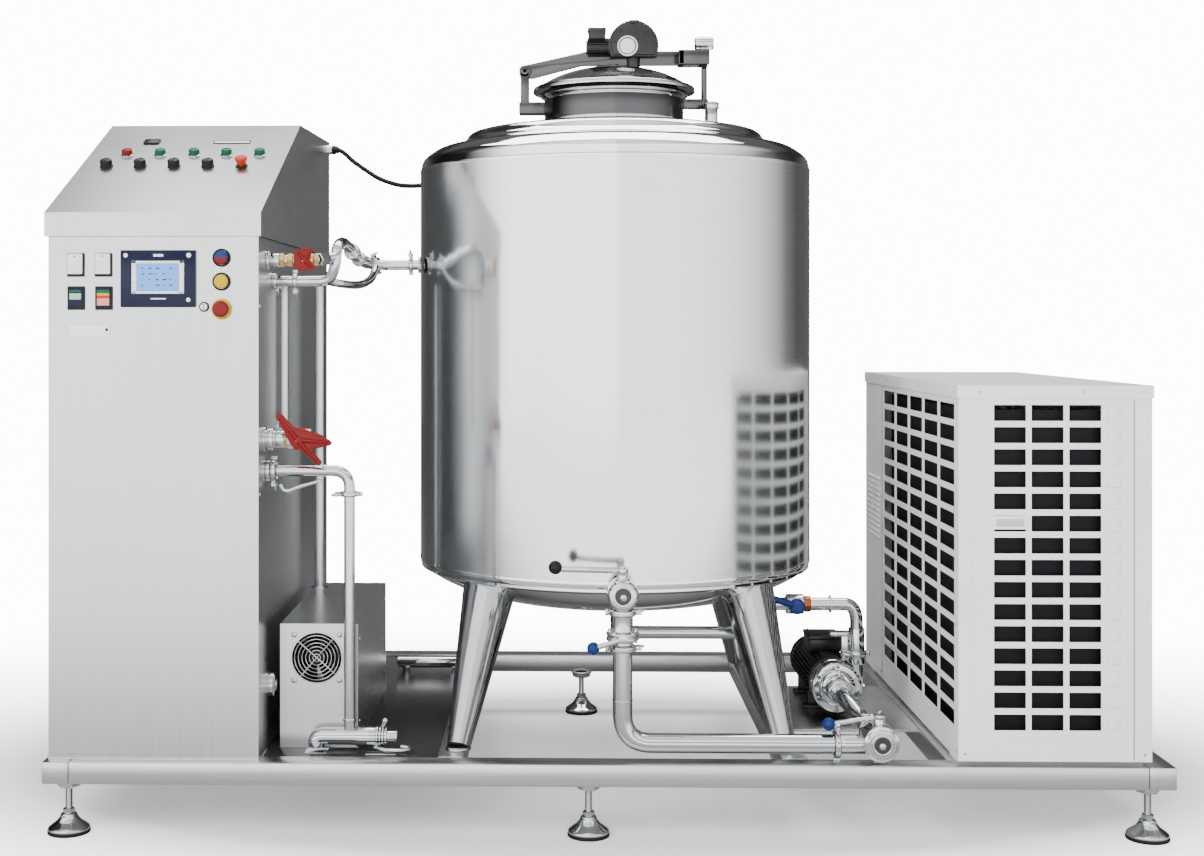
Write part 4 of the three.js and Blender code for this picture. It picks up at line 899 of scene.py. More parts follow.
def make_drive(m):
    """The gearbox with its cap, the finned motor beside it and the shaft to the coupling."""
    front, back = -0.034, 0.040
    middle = (DRIVE_X, 0, DRIVE_Z)
    place = Matrix.Translation(middle) @ spin(-90, "X")
    casing = Shape()
    arc = [math.radians(angle) for angle in range(-20, 201, 5)]
    outline = [(0.0645 * math.cos(t), -0.0645 * math.sin(t)) for t in arc]
    outline += [(-0.0590, 0.0300), (0.0610, 0.0300)]
    casing.plate(outline, back - front - 0.008, place @ Matrix.Translation((0, 0, front + 0.008)), 0.004)
    lid_line = [(point[0] * 0.9, point[1] * 0.9 - 0.001) for point in outline]
    casing.plate(lid_line, 0.010, place @ Matrix.Translation((0, 0, front)), 0.003)
    for step in range(5):
        way = Vector((math.cos(step * 0.72 + 0.1), 0, math.sin(step * 0.72 + 0.1)))
        spot = Vector((DRIVE_X, front, DRIVE_Z)) + way * 0.0500
        dome_screw(casing, spot, (0, -1, 0), 0.0035)
    casing.box((DRIVE_X - 0.012, front, 1.9080), (DRIVE_X + 0.014, front + 0.030, 1.9230), 0.003)
    casing.rod((DRIVE_X, 0, 1.7975), (DRIVE_X, 0, DRIVE_Z - 0.028), 0.0165, 0.0190, 0.002)
    casing.ring((DRIVE_X, 0, 1.7930), (DRIVE_X, 0, 1.7975), 0.013, 0.026)
    casing.piece("gearbox_casing", m["satin_cast"], "lid", "cast_housing", ("agitator_drive",))
    cap = Shape()
    disc = rounded([(0, front - 0.0065), (0.019, front - 0.0065), (0.0205, front - 0.002),
                    (0.0205, front + 0.002), (0, front + 0.002)], 0.0015, 3)
    low_left = place @ Matrix.Translation((-0.016, 0.004, 0))
    cap.turned(disc, low_left, 48)
    rim = [(0.0225, front + 0.001), (0.0225, front - 0.005), (0.0262, front - 0.005), (0.0262, front + 0.001),
           (0.0225, front + 0.001)]
    cap.piece("gearbox_cap", m["white_plastic"], "lid", "white_plastic")
    circlip = Shape().turned(rim, low_left, 48)
    circlip.piece("gearbox_cap_ring", m["polished"], "lid", "polished_steel")
    motor = Shape()
    axis = Matrix.Translation((TANK_X, 0, MOTOR_Z))
    motor.rod((TANK_X - 0.011, 0, MOTOR_Z), (TANK_X - 0.0718, 0, MOTOR_Z), 0.0205, 0.0190, 0.002)
    motor.rod((TANK_X - 0.011, 0, MOTOR_Z), (TANK_X - 0.0155, 0, MOTOR_Z), 0.0245, edge=0.001)
    for fin in range(20):
        turned = axis @ spin(18 * fin, "X")
        motor.box((-0.0680, -0.0012, 0.0185), (-0.0150, 0.0012, 0.0245), 0.0005, turned)
    motor.box((TANK_X - 0.066, -0.022, 1.8765), (TANK_X - 0.022, 0.022, 1.9045), 0.003)
    motor.box((TANK_X - 0.0675, -0.0225, 1.8965), (TANK_X - 0.0205, 0.0225, 1.9055), 0.002)
    motor.piece("stirrer_motor", m["satin_cast"], "lid", "cast_housing")
    shaft = Shape()
    shaft.rod((DRIVE_X, 0, 1.7412), (DRIVE_X, 0, 1.8090), 0.0118)
    shaft.rod((DRIVE_X, 0, 1.7305), (DRIVE_X, 0, 1.7447), 0.0195, edge=0.002)
    shaft.piece("drive_shaft", m["polished"], "lid", "polished_steel")


def make_agitator(m):
    """The stirrer shaft with two pairs of pitched blades, below the coupling."""
    shape = Shape()
    shape.rod((DRIVE_X, 0, 0.5065), (DRIVE_X, 0, 1.7275), 0.0098)
    for z, turn in ((0.560, 0.0), (0.980, 90.0)):
        hub_at = Matrix.Translation((DRIVE_X, 0, z)) @ spin(turn, "Z")
        shape.rod((DRIVE_X, 0, z - 0.024), (DRIVE_X, 0, z + 0.024), 0.0175, edge=0.002)
        for side in (-1, 1):
            blade = hub_at @ spin(45 * side, "X")
            low_x, high_x = sorted((side * 0.012, side * 0.1495))
            shape.box((low_x, -0.0018, -0.0395), (high_x, 0.0018, 0.0395), 0.0012, blade)
    shape.rod((DRIVE_X, 0, 1.7125), (DRIVE_X, 0, 1.7275), 0.0195, edge=0.002)
    shape.piece("stirrer", m["polished"], "agitator", "polished_steel", ("agitator",))


# ------------------------------------------------------------- outlet, pump and return lines
def lever(shape, hub_start, hub_end, hub_radius, grip_start, grip_end, radius):
    """A valve lever: a hub on the stem and a round arm."""
    shape.rod(hub_start, hub_end, hub_radius, edge=0.0012)
    shape.rod(grip_start, grip_end, radius, edge=0.001, sides=20)


def union(shape, centre, way, radius, width):
    """A dairy union: a round nut and the two ferrules beside it."""
    way = Vector(way).normalized()
    centre = Vector(centre)
    shape.ring(centre - way * width / 2, centre + way * width / 2, radius * 0.5, radius, 0.0015)
    for side in (-1, 1):
        near = centre + way * side * width / 2
        shape.ring(near, near + way * side * 0.004, radius * 0.5, radius * 0.82, 0.0008)


def make_outlet(m):
    """The ball valve under the tank, with its lever and black knob."""
    x, y = TANK_X, OUTLET_Y
    body = Shape()
    front, back = y - 0.036, -0.5413
    profile = rounded([(0, 0), (0.029, 0), (0.035, 0.008), (0.035, back - front - 0.006),
                       (0.031, back - front), (0, back - front)], 0.003, 3)
    body.turned(profile, aim((x, front, OUTLET_Z), (x, back, OUTLET_Z)), 56)
    body.ring((x, back - 0.006, OUTLET_Z), (x, back, OUTLET_Z), 0.020, 0.034, 0.001)
    body.rod((x, y, OUTLET_Z), (x, y, 0.4995), 0.022)
    body.rod((x, y, OUTLET_Z + 0.020), (x, y, 0.5835), 0.0135, 0.0115)
    body.ring((x, y, 0.566), (x, y, 0.574), 0.010, 0.0170)
    body.rod((x, y, 0.4972), (x, y, 0.5015), FERRULE_RADIUS, edge=0.001)
    sight_port(m, "outlet_valve", Vector((x, front, OUTLET_Z)))
    body.piece("outlet_valve_body", m["polished"], slot="polished_steel", replaces=("outlet_valve",))
    handle = Shape()
    lever(handle, (x, y, 0.5846), (x, y, 0.5955), 0.013, (x, y, 0.5905), (x - 0.136, y, 0.5935), 0.0068)
    hex_nut(handle, (x, y, 0.5950), (x, y, 0.5985), 0.012)
    handle.piece("outlet_lever_arm", m["polished"], "outlet_lever", "polished_steel", ("outlet_lever",))
    knob = Shape().ball((x - 0.150, y, 0.597), 0.0155)
    knob.piece("outlet_lever_knob", m["black_plastic"], "outlet_lever", "black_plastic")


def make_butterfly(m):
    """The butterfly valve below it, clamped at both ends, with its blue-knobbed lever."""
    x, y, bolt_reach = TANK_X, OUTLET_Y, 0.0285
    body = Shape()
    wall = rounded([(0.0185, 0.4183), (0.0315, 0.4183), (0.0315, 0.4225), (0.0235, 0.4265), (0.0235, 0.434),
                    (0.0365, 0.4365), (0.0365, 0.4425), (0.0345, 0.4435), (0.0345, 0.4465), (0.0365, 0.4475),
                    (0.0365, 0.4535), (0.0235, 0.456), (0.0235, 0.4885), (0.0315, 0.4925), (0.0315, 0.4965),
                    (0.0185, 0.4965)], 0.001, 2)
    body.turned([*wall, wall[0]], Matrix.Translation((x, y, 0)), 56)
    body.rod((x, y - 0.0355, BUTTERFLY_Z), (x, y - 0.0372, BUTTERFLY_Z), 0.0095)
    for side in (-1, 1):
        body.rod((x + side * bolt_reach, y, 0.432), (x + side * bolt_reach, y, 0.458), 0.0045)
    for z in (0.4285, 0.4580):
        for side in (-1, 1):
            spot = (x + side * bolt_reach, y, z)
            hex_nut(body, spot, (spot[0], spot[1], z + 0.0035), 0.008)
    for z in (0.4175, 0.4972):
        pipe_clamp(body, (x, y, z), (0, 0, 1), FERRULE_RADIUS, 180)
    body.piece("butterfly_valve_body", m["polished"], slot="polished_steel", replaces=("butterfly_valve",))
    handle = Shape()
    handle.rod((x, -0.6123, BUTTERFLY_Z), (x, -0.6218, BUTTERFLY_Z), 0.011, edge=0.001)
    handle.rod((x, -0.617, BUTTERFLY_Z), (x - 0.056, -0.6148, 0.427), 0.0052, 0.0060, 0.002)
    handle.piece("butterfly_lever_arm", m["polished"], "butterfly_lever", "polished_steel",
                 ("butterfly_lever",))
    knob = Shape().ball((x - 0.066, -0.6105, 0.4235), 0.0142)
    knob.piece("butterfly_blue_knob", m["blue_plastic"], "butterfly_lever", "blue_plastic")


def make_outlet_pipe(m):
    """The pipe from the butterfly valve down and along to the pump valve."""
    x, y = TANK_X, OUTLET_Y
    pipe = Shape()
    path = rounded([(x, y, 0.4168), (x, y, OUTLET_RUN_Z), (0.516, y, OUTLET_RUN_Z)], 0.065, 12)
    pipe.tube(path, 0.0218, 40)
    pipe.rod((x, y, 0.4127), (x, y, 0.4172), FERRULE_RADIUS, edge=0.001)
    for start, end in (((x, y, 0.300), (x, y, 0.303)), ((0.470, y, OUTLET_RUN_Z), (0.473, y, OUTLET_RUN_Z))):
        pipe.ring(start, end, 0.0205, 0.0226, 0.0008)
    pipe.rod((0.5125, y, OUTLET_RUN_Z), (0.5157, y, OUTLET_RUN_Z), FERRULE_RADIUS, edge=0.001)
    pipe.piece("outlet_pipe_run", m["polished"], slot="polished_steel", replaces=("outlet_pipe",), sharp=40)


def make_pump_valve(m):
    """The second ball valve, on its stand, and the bent pipe to the pump."""
    x, z, front, back = 0.610, 0.213, -0.6145, -0.5355
    body = Shape()
    wall = rounded([(0, 0), (0.031, 0), (0.033, 0.003), (0.040, 0.006), (0.040, back - front - 0.006),
                    (0.034, back - front), (0, back - front)], 0.002, 3)
    body.turned(wall, aim((x, front, z), (x, back, z)), 64)
    body.rod((0.5163, OUTLET_Y, OUTLET_RUN_Z), (0.580, OUTLET_Y, OUTLET_RUN_Z), 0.0215)
    body.rod((0.5163, OUTLET_Y, OUTLET_RUN_Z), (0.5205, OUTLET_Y, OUTLET_RUN_Z), FERRULE_RADIUS, edge=0.001)
    pipe_clamp(body, (0.5161, OUTLET_Y, OUTLET_RUN_Z), (1, 0, 0), FERRULE_RADIUS, 90)
    body.rod((x, OUTLET_Y, 0.236), (x, OUTLET_Y, 0.2625), 0.0135, 0.0120)
    run = [(x, -0.540, z), (x, -0.420, z), (PUMP_X, -0.340, PUMP_Z), (PUMP_X, -0.2868, PUMP_Z)]
    body.tube(rounded(run, 0.045, 10), 0.0198, 40)
    body.ring((PUMP_X, -0.2868, PUMP_Z), (PUMP_X, -0.2915, PUMP_Z), 0.018, 0.029)
    pipe_clamp(body, (x, -0.470, z), (0, 1, 0), 0.0255, 90)
    body.piece("pump_valve_body", m["polished"], slot="polished_steel", replaces=("pump_valve",), sharp=40)
    bracket = Shape()
    bracket.box((x - 0.012, OUTLET_Y - 0.004, RAIL_TOP + 0.0003), (x + 0.012, OUTLET_Y + 0.004, 0.176), 0.001)
    bracket.piece("pump_valve_stand", m["polished"])
    handle = Shape()
    hub = (x, OUTLET_Y, 0.2636)
    lever(handle, hub, (x, OUTLET_Y, 0.2720), 0.0135, (x, OUTLET_Y, 0.2665),
          (0.512, OUTLET_Y, 0.2520), 0.0056)
    handle.piece("pump_valve_lever_arm", m["polished"], "pump_valve_lever", "polished_steel",
                 ("pump_valve_lever",))
    knob = Shape().ball((0.4985, OUTLET_Y, 0.2500), 0.0145)
    knob.piece("pump_valve_blue_knob", m["blue_plastic"], "pump_valve_lever", "blue_plastic")
    sight_port(m, "pump_valve", Vector((x, front, z)))


def sight_port(m, name, middle):
    """The open cleaning port in the front of a valve: a black disc of painted shade in its opening, with a
    bright ball behind it.
    """
    well = Shape()
    # the black disc is painted shade in the port's opening
    well.rod(middle, middle - Vector((0, 0.0004, 0)), 0.0185, edge=0)
    well.piece(f"{name}_port_painted_shade", m["black_enamel"], slot="black_paint")
    port = Shape()
    port.ring(middle + Vector((0, 0.001, 0)), middle - Vector((0, 0.0035, 0)), 0.0180, 0.0235, 0.0012)
    port.ball(middle + Vector((0.001, 0.0060, -0.003)), 0.0100)
    port.piece(f"{name}_port_rim", m["polished"], slot="polished_steel")


def make_pump(m):
    """The pump casing with its cover, bolts and the riser to the return line."""
    x, z, front, riser_x = PUMP_X, PUMP_Z, -0.240, 0.626
    casing = Shape()
    wall = rounded([(0, 0), (0.056, 0), (0.0615, 0.005), (0.0615, 0.012), (0.0580, 0.016), (0.0580, 0.046),
                    (0.0615, 0.0515), (0, 0.0515)], 0.003, 3)
    casing.turned(wall, aim((x, front, z), (x, 0, z)), 72)
    cover = rounded([(0, -0.0135), (0.034, -0.0135), (0.044, -0.009), (0.0455, 0.002), (0, 0.002)], 0.005, 4)
    casing.turned(cover, aim((x, front, z), (x, 0, z)), 64)
    casing.rod((x, -0.2855, z), (x, front - 0.010, z), 0.021)
    casing.rod((x, -0.2855, z), (x, -0.2812, z), 0.0238, edge=0.001)
    pipe_clamp(casing, (x, -0.2855, z), (0, 1, 0), 0.0305, 60)
    bolts = 6
    for step in range(bolts):
        turn = 2 * math.pi * step / bolts + 0.5
        spot = Vector((x + 0.0525 * math.cos(turn), front + 0.001, z + 0.0525 * math.sin(turn)))
        hex_nut(casing, spot, spot - Vector((0, 0.006, 0)), 0.0085)
    run = [(riser_x, RETURN_Y, z), (riser_x, RETURN_Y, PUMP_LINE_Z), (0.564, RETURN_Y, PUMP_LINE_Z)]
    casing.tube(rounded(run, 0.045, 14), RETURN_PIPE_RADIUS, 32)
    casing.rod((riser_x, RETURN_Y, 0.310), (riser_x, RETURN_Y, 0.398), 0.0195, edge=0.002)
    casing.box((0.560, RETURN_Y - 0.014, 0.3780), (0.612, RETURN_Y + 0.014, 0.3900), 0.004)
    casing.box((0.588, RETURN_Y - 0.010, 0.3180), (0.608, RETURN_Y + 0.010, 0.3860), 0.004)
    pipe_clamp(casing, (riser_x, RETURN_Y, 0.336), (0, 0, 1), 0.0255, 0, 0.012)
    casing.piece("pump_casing", m["polished"], slot="polished_steel", replaces=("milk_pump",), sharp=40)


def make_motor(m):
    """The finned pump motor with its terminal box and feet."""
    x, z, start = PUMP_X, PUMP_Z, -0.1875
    motor = Shape()
    motor.rod((x, start, z), (x, start + 0.004, z), 0.055, edge=0.001, sides=56)
    motor.rod((x, start + 0.003, z), (x, start + 0.040, z), 0.047, 0.049, sides=56)
    fins, under_terminal_box = 36, range(26, 30)
    body_start, body_end = start + 0.040, 0.118
    motor.rod((x, body_start, z), (x, body_end, z), 0.0555, edge=0.002, sides=72)
    for fin in range(fins):
        if fin not in under_terminal_box:
            place = Matrix.Translation((x, 0, z)) @ spin(360 * fin / fins, "Y")
            motor.box((0.0545, body_start + 0.006, -0.0011), (0.0615, body_end - 0.006, 0.0011),
                      0.0005, place)
    cowl = rounded([(0, 0.1495), (0.050, 0.1495), (0.0615, 0.140), (0.0615, body_end - 0.004),
                    (0, body_end - 0.004)],
                   0.006, 4)
    place = Matrix.Translation((x, 0, z)) @ spin(-90, "X")
    motor.turned(cowl, place, 72)
    motor.box((x - 0.040, -0.060, 0.3055), (x + 0.040, 0.040, 0.3465), 0.004)
    motor.box((x - 0.042, -0.062, 0.337), (x + 0.042, 0.042, 0.3475), 0.003)
    for side_x in (-1, 1):
        for spot_y in (-0.050, 0.030):
            dome_screw(motor, (x + side_x * 0.032, spot_y, 0.3475), (0, 0, 1), 0.0035)
    for low_y, high_y in ((-0.088, -0.062), (0.082, 0.108)):
        motor.box((x - 0.058, low_y, 0.1705), (x + 0.058, high_y, 0.178), 0.001)
        motor.box((x - 0.046, low_y + 0.009, 0.176), (x + 0.046, high_y - 0.009, 0.2145), 0.001)
    motor.piece("pump_motor_body", m["satin_cast"], slot="cast_housing", replaces=("pump_motor",))


def make_return(m):
    """The return line with its copper band and blue-levered valve."""
    right, valve_x, front = 0.5637, 0.475, RETURN_Y - 0.034
    pipe = Shape()
    run = [(right, RETURN_Y, PUMP_LINE_Z), (0.405, RETURN_Y, PUMP_LINE_Z), (0.365, RETURN_Y, RETURN_Z),
           (0.160, RETURN_Y, RETURN_Z)]
    pipe.tube(rounded(run, 0.024, 10), RETURN_PIPE_RADIUS, 32)
    run = [(0.165, RETURN_Y, RETURN_Z), (TANK_X, RETURN_Y, RETURN_Z), (TANK_X, RETURN_Y, 0.4045)]
    pipe.tube(rounded(run, 0.017, 10), RETURN_PIPE_RADIUS, 32)
    pipe.rod((valve_x - 0.0215, RETURN_Y, PUMP_LINE_Z), (valve_x + 0.0215, RETURN_Y, PUMP_LINE_Z), 0.0245,
             edge=0.003)
    pipe.rod((valve_x, RETURN_Y, PUMP_LINE_Z), (valve_x, front, PUMP_LINE_Z), 0.0078)
    pipe.rod((right, RETURN_Y, PUMP_LINE_Z), (right - 0.004, RETURN_Y, PUMP_LINE_Z), 0.0215)
    pipe.piece("return_pipe_run", m["polished"], slot="polished_steel", replaces=("return_pipe",), sharp=40)
    band = Shape().ring((valve_x + 0.0225, RETURN_Y, PUMP_LINE_Z), (valve_x + 0.038, RETURN_Y, PUMP_LINE_Z),
                        0.0155, 0.0195)
    band.piece("return_copper_band", m["copper"], slot="polished_steel")
    handle = Shape()
    hub = rounded([(0, 0.0003), (0.0180, 0.0003), (0.0198, 0.0030), (0.0182, 0.0125), (0.0120, 0.0142),
                   (0, 0.0142)], 0.003, 3)
    handle.turned(hub, aim((valve_x, front, PUMP_LINE_Z), (valve_x, front - 1, PUMP_LINE_Z)), 40)
    handle.rod((valve_x - 0.008, front - 0.0085, PUMP_LINE_Z + 0.004), (0.398, front - 0.0085, 0.482), 0.0090,
               0.0072, 0.003)
    handle.piece("return_blue_lever", m["blue_plastic"], "return_lever", "blue_plastic", ("return_lever",))


# ------------------------------------------------------------- cabinet
CABINET_FRONT, CABINET_RIGHT = -0.605, -0.770
CONTROL_COLUMNS = (-1.183, -1.102, -1.021, -0.940, -0.859)
DESK_FRONT, DESK_LOW = -0.614, 1.389
DESK_SLOPE = math.atan2(0.261, 0.550)
LOWER_ROW, UPPER_ROW, TOP_ROW = 0.270, 0.345, 0.430


def on_desk(x, reach):
    """The frame of a spot on the sloping desk: Z points out of the sheet, Y up the slope."""
    spot = (x, DESK_FRONT + reach, DESK_LOW + reach * math.tan(DESK_SLOPE))
    return Matrix.Translation(spot) @ Matrix.Rotation(DESK_SLOPE, 4, "X")


def on_front(x, z):
    """The frame of a spot on the cabinet front: Z points out towards the operator, Y up."""
    return Matrix.Translation((x, CABINET_FRONT, z)) @ spin(90, "X")


def make_cabinet(m):
    """The cabinet, hood and inner plate as they are, with their screws and side ports."""
    soften_cad("cabinet_body", m["brushed_upright"], 0.0022)
    soften_cad("console_hood", m["brushed_upright"], 0.0025)
    soften_cad("control_plate", m["grey_enamel"], 0.001)
    seams = Shape()
    left, right = -1.240, CABINET_RIGHT
    seams.box((left + 0.012, CABINET_FRONT - 0.0008, 0.182), (right - 0.012, CABINET_FRONT + 0.0005, 0.1832),
              0)
    for z in (0.330, 0.760, 1.180):
        for y in (-0.590, 0.440):
            dome_screw(seams, (right, y, z), (1, 0, 0), 0.0042)
    ring_at = aim((right, -0.475, 0.311), (right + 0.01, -0.475, 0.311))
    port = rounded([(0.017, 0.002), (0.0285, 0.002), (0.0285, 0.0125), (0.023, 0.0155), (0.019, 0.0155),
                    (0.017, 0.010), (0, 0.009), (0, 0.002), (0.017, 0.002)], 0.0015, 2)
    seams.turned(port, ring_at, 48)
    for z in (1.225, 0.893):
        seams.ring((right, -0.353, z), (right + 0.004, -0.353, z), 0.008, 0.018)
    seams.piece("cabinet_screws_and_port", m["polished"])


def make_selectors(m):
    """Four fluted selector knobs and the stop mushroom on the desk."""
    bezels = Shape()
    for index, x in enumerate(CONTROL_COLUMNS[:4]):
        place = on_desk(x, LOWER_ROW)
        name = f"selector_{index + 1}"
        knob = Shape()
        barrel = rounded([(0, 0.0012), (0.0138, 0.0012), (0.0142, 0.0030), (0.0132, 0.0185), (0, 0.0190)],
                         0.0028, 4)
        knob.turned(barrel, place, 44)
        for step in range(20):
            flute = spin(18 * step, "Z")
            knob.box((0.0128, -0.0007, 0.0045), (0.0142, 0.0007, 0.0160), 0.0002, place @ flute)
        knob.box((-0.0022, -0.0110, 0.0185), (0.0022, 0.0110, 0.0206), 0.0008, place)
        knob.piece(f"{name}_knob", m["black_plastic"], name, "black_plastic", (name,))
        mark = Shape().box((-0.0006, 0.0040, 0.0204), (0.0006, 0.0105, 0.0209), 0, place)
        mark.piece(f"{name}_pointer", m["white_plastic"], name, "white_plastic")
        bezels.turned([(0.0125, 0.0002), (0.0162, 0.0002), (0.0156, 0.0022), (0.0140, 0.0030),
                       (0.0125, 0.0002)], place, 40)
    bezels.piece("selector_bezels", m["black_plastic"], slot="black_plastic")
    stop_at = on_desk(CONTROL_COLUMNS[4], LOWER_ROW)
    stop = Shape()
    cap = rounded([(0, 0.0084), (0.0118, 0.0084), (0.0130, 0.0155), (0.0155, 0.0180), (0.0152, 0.0225),
                   (0.0125, 0.0248), (0, 0.0252)], 0.002, 4)
    stop.turned(cap, stop_at, 44)
    stop.rod(stop_at @ Vector((0, 0, 0.0005)), stop_at @ Vector((0, 0, 0.007)), 0.0070)
    stop.piece("stop_mushroom", m["orange_paint"], "stop_button", "red_plastic", ("stop_button",))
    ring = Shape().turned([(0.0085, 0.0002), (0.0150, 0.0002), (0.0146, 0.0030), (0.0090, 0.0034),
                           (0.0085, 0.0002)], stop_at, 40)
    ring.piece("stop_bezel", m["black_plastic"], slot="black_plastic")


def make_lamps(m):
    """Five lamps, the small meter and the plain label above the selectors."""
    colours = ("red_plastic", "green_plastic", "green_plastic", "green_plastic", "green_plastic")
    rims = Shape()
    for index, (shift, colour) in enumerate(zip((0.030, 0.030, 0.032, 0.030, 0.030), colours)):
        x = CONTROL_COLUMNS[index] + shift
        place = on_desk(x, UPPER_ROW)
        lens = Shape()
        outline = rounded([(0, 0.0005), (0.0132, 0.0005), (0.0128, 0.0130), (0.0100, 0.0158), (0, 0.0165)],
                          0.003, 4)
        lens.turned(outline, place, 40)
        slot = "red_plastic" if index == 0 else "blue_plastic"
        lens.piece(f"lamp_lens_{index + 1}", m[colour], slot=slot)
        rims.turned([(0.0130, 0.0002), (0.0152, 0.0002), (0.0149, 0.0022), (0.0134, 0.0030),
                     (0.0130, 0.0002)], place, 40)
    rims.piece("lamp_rims", m["polished"])
    meter = Shape()
    at = on_desk(-1.114, TOP_ROW)
    meter.box((-0.0195, -0.0140, 0.0002), (0.0195, 0.0140, 0.0050), 0.0015, at)
    meter.piece("small_meter_case", m["black_plastic"], slot="black_plastic")
    window = Shape().box((-0.0150, -0.0070, 0.0046), (0.0150, 0.0085, 0.0055), 0.0004, at)
    window.piece("small_meter_window", m["navy_panel"], slot="black_plastic")
    at = on_desk(-0.914, TOP_ROW)
    label = Shape().box((-0.0440, -0.0085, 0.0002), (0.0440, 0.0085, 0.0016), 0.0005, at)
    label.piece("desk_label", m["white_plastic"], slot="white_plastic")
    rim = four_strips(Shape(), (-0.046, -0.0105), (0.046, 0.0105), 0.002, 0.002, (0.0002, 0.0020), 0.0003, at)
    rim.piece("desk_label_frame", m["black_plastic"], slot="black_plastic")


def make_panel(m):
    """The touch screen on the cabinet front, in its own colours."""
    middle = on_front(-0.993, 1.2415)
    case = Shape().box((-0.084, -0.0635, 0.0004), (0.084, 0.0635, 0.0078), 0.002, middle)
    case.piece("touch_panel_case", m["navy_panel"], slot="white_plastic", replaces=("touch_panel",))
    bezel = four_strips(Shape(), (-0.0585, -0.0335), (0.0585, 0.0395), 0.0105, 0.0055, (0.0070, 0.0088),
                        0.0007, middle)
    bezel.piece("touch_panel_bezel", m["white_plastic"], slot="white_plastic")
    screen = Shape().box((-0.0482, -0.0282, 0.0070), (0.0482, 0.0342, 0.0081), 0, middle)
    screen.piece("touch_panel_screen", m["screen"], slot="blue_plastic")
    marks = Shape()
    for row in range(4):
        for column in range(5):
            if (row * 3 + column * 2) % 5 != 1:
                x, y = -0.036 + column * 0.0155, 0.022 - row * 0.0125
                marks.box((x, y, 0.0081), (x + 0.0035 + 0.003 * ((row + column) % 3), y + 0.0022, 0.0083),
                          0, middle)
    marks.piece("screen_readings", m["navy_panel"], slot="blue_plastic")
    keys = Shape()
    for x, y, radius in ((-0.072, 0.0520, 0.0050), (0.069, 0.0520, 0.0055), (0.068, -0.0470, 0.0048)):
        keys.rod(middle @ Vector((x, y, 0.0076)), middle @ Vector((x, y, 0.0084)), radius, edge=0.0003)
    keys.box((-0.0100, 0.0490, 0.0077), (0.0120, 0.0545, 0.0081), 0, middle)
    keys.box((-0.0160, -0.0460, 0.0077), (0.0180, -0.0432, 0.0081), 0, middle)
    keys.piece("panel_symbols", m["white_plastic"], slot="white_plastic")


def make_modules(m):
    """Two white and two black plug-in instruments and the plain rating label."""
    for index, (x, z, case) in enumerate(((-1.178, 1.2725, "white"), (-1.116, 1.2725, "white"),
                                          (-1.177, 1.1985, "black"), (-1.115, 1.1985, "black"))):
        at = on_front(x, z)
        rim = Shape().box((-0.0195, -0.0265, 0.0004), (0.0195, 0.0265, 0.0050), 0.0020, at)
        rim.piece(f"module_{index + 1}_rim", m["black_plastic"], slot="black_plastic")
        face = Shape()
        if case == "white":
            face.box((-0.0175, -0.0205, 0.0046), (0.0160, 0.0250, 0.0078), 0.0015, at)
        else:
            face.box((-0.0160, -0.0210, 0.0046), (0.0150, 0.0222, 0.0058), 0.0010, at)
        face.piece(f"module_{index + 1}_face", m["white_plastic" if case == "white" else "navy_panel"],
                   slot="white_plastic" if case == "white" else "black_plastic")
        if case == "white":
            pin = Shape().box((-0.0030, 0.0175, 0.0077), (0.0005, 0.0205, 0.0083), 0.0002, at)
            pin.piece(f"module_{index + 1}_mark", m["black_plastic"], slot="black_plastic")
    left = on_front(-1.177, 1.1985)
    Shape().box((-0.0140, -0.0030, 0.0056), (0.0120, 0.0105, 0.0062), 0, left).piece(
        "module_3_readout", m["pale_green"], slot="white_plastic")
    Shape().box((-0.0140, 0.0135, 0.0056), (0.0120, 0.0180, 0.0062), 0, left).piece(
        "module_3_strip", m["green_plastic"], slot="blue_plastic")
    right = on_front(-1.115, 1.1985)
    for name, low, high in (("green_plastic", 0.0110, 0.0185), ("yellow_plastic", 0.0055, 0.0108),
                            ("orange_paint", -0.0005, 0.0053), ("pale_red", -0.0165, -0.0008)):
        Shape().box((-0.0145, low, 0.0056), (0.0130, high, 0.0062), 0, right).piece(
            f"module_4_band_{name}", m[name], slot="yellow_plastic")
    at = on_front(-1.1475, 1.126)
    label = Shape().box((-0.0455, -0.0125, 0.0003), (0.0455, 0.0125, 0.0009), 0.0002, at)
    label.piece("rating_label", m["white_enamel"], slot="white_plastic")
    outline = four_strips(Shape(), (-0.0461, -0.0131), (0.0461, 0.0131), 0.0007, 0.0007,
                          (0.0003, 0.0011), 0, at)
    outline.piece("rating_label_edge", m["grey_enamel"], slot="white_plastic")
    stamp = Shape()
    stamp.rod(at @ Vector((0.0385, 0.002, 0.0008)), at @ Vector((0.0385, 0.002, 0.0012)), 0.0035, edge=0)
    stamp.piece("rating_label_dot", m["black_plastic"], slot="black_plastic")


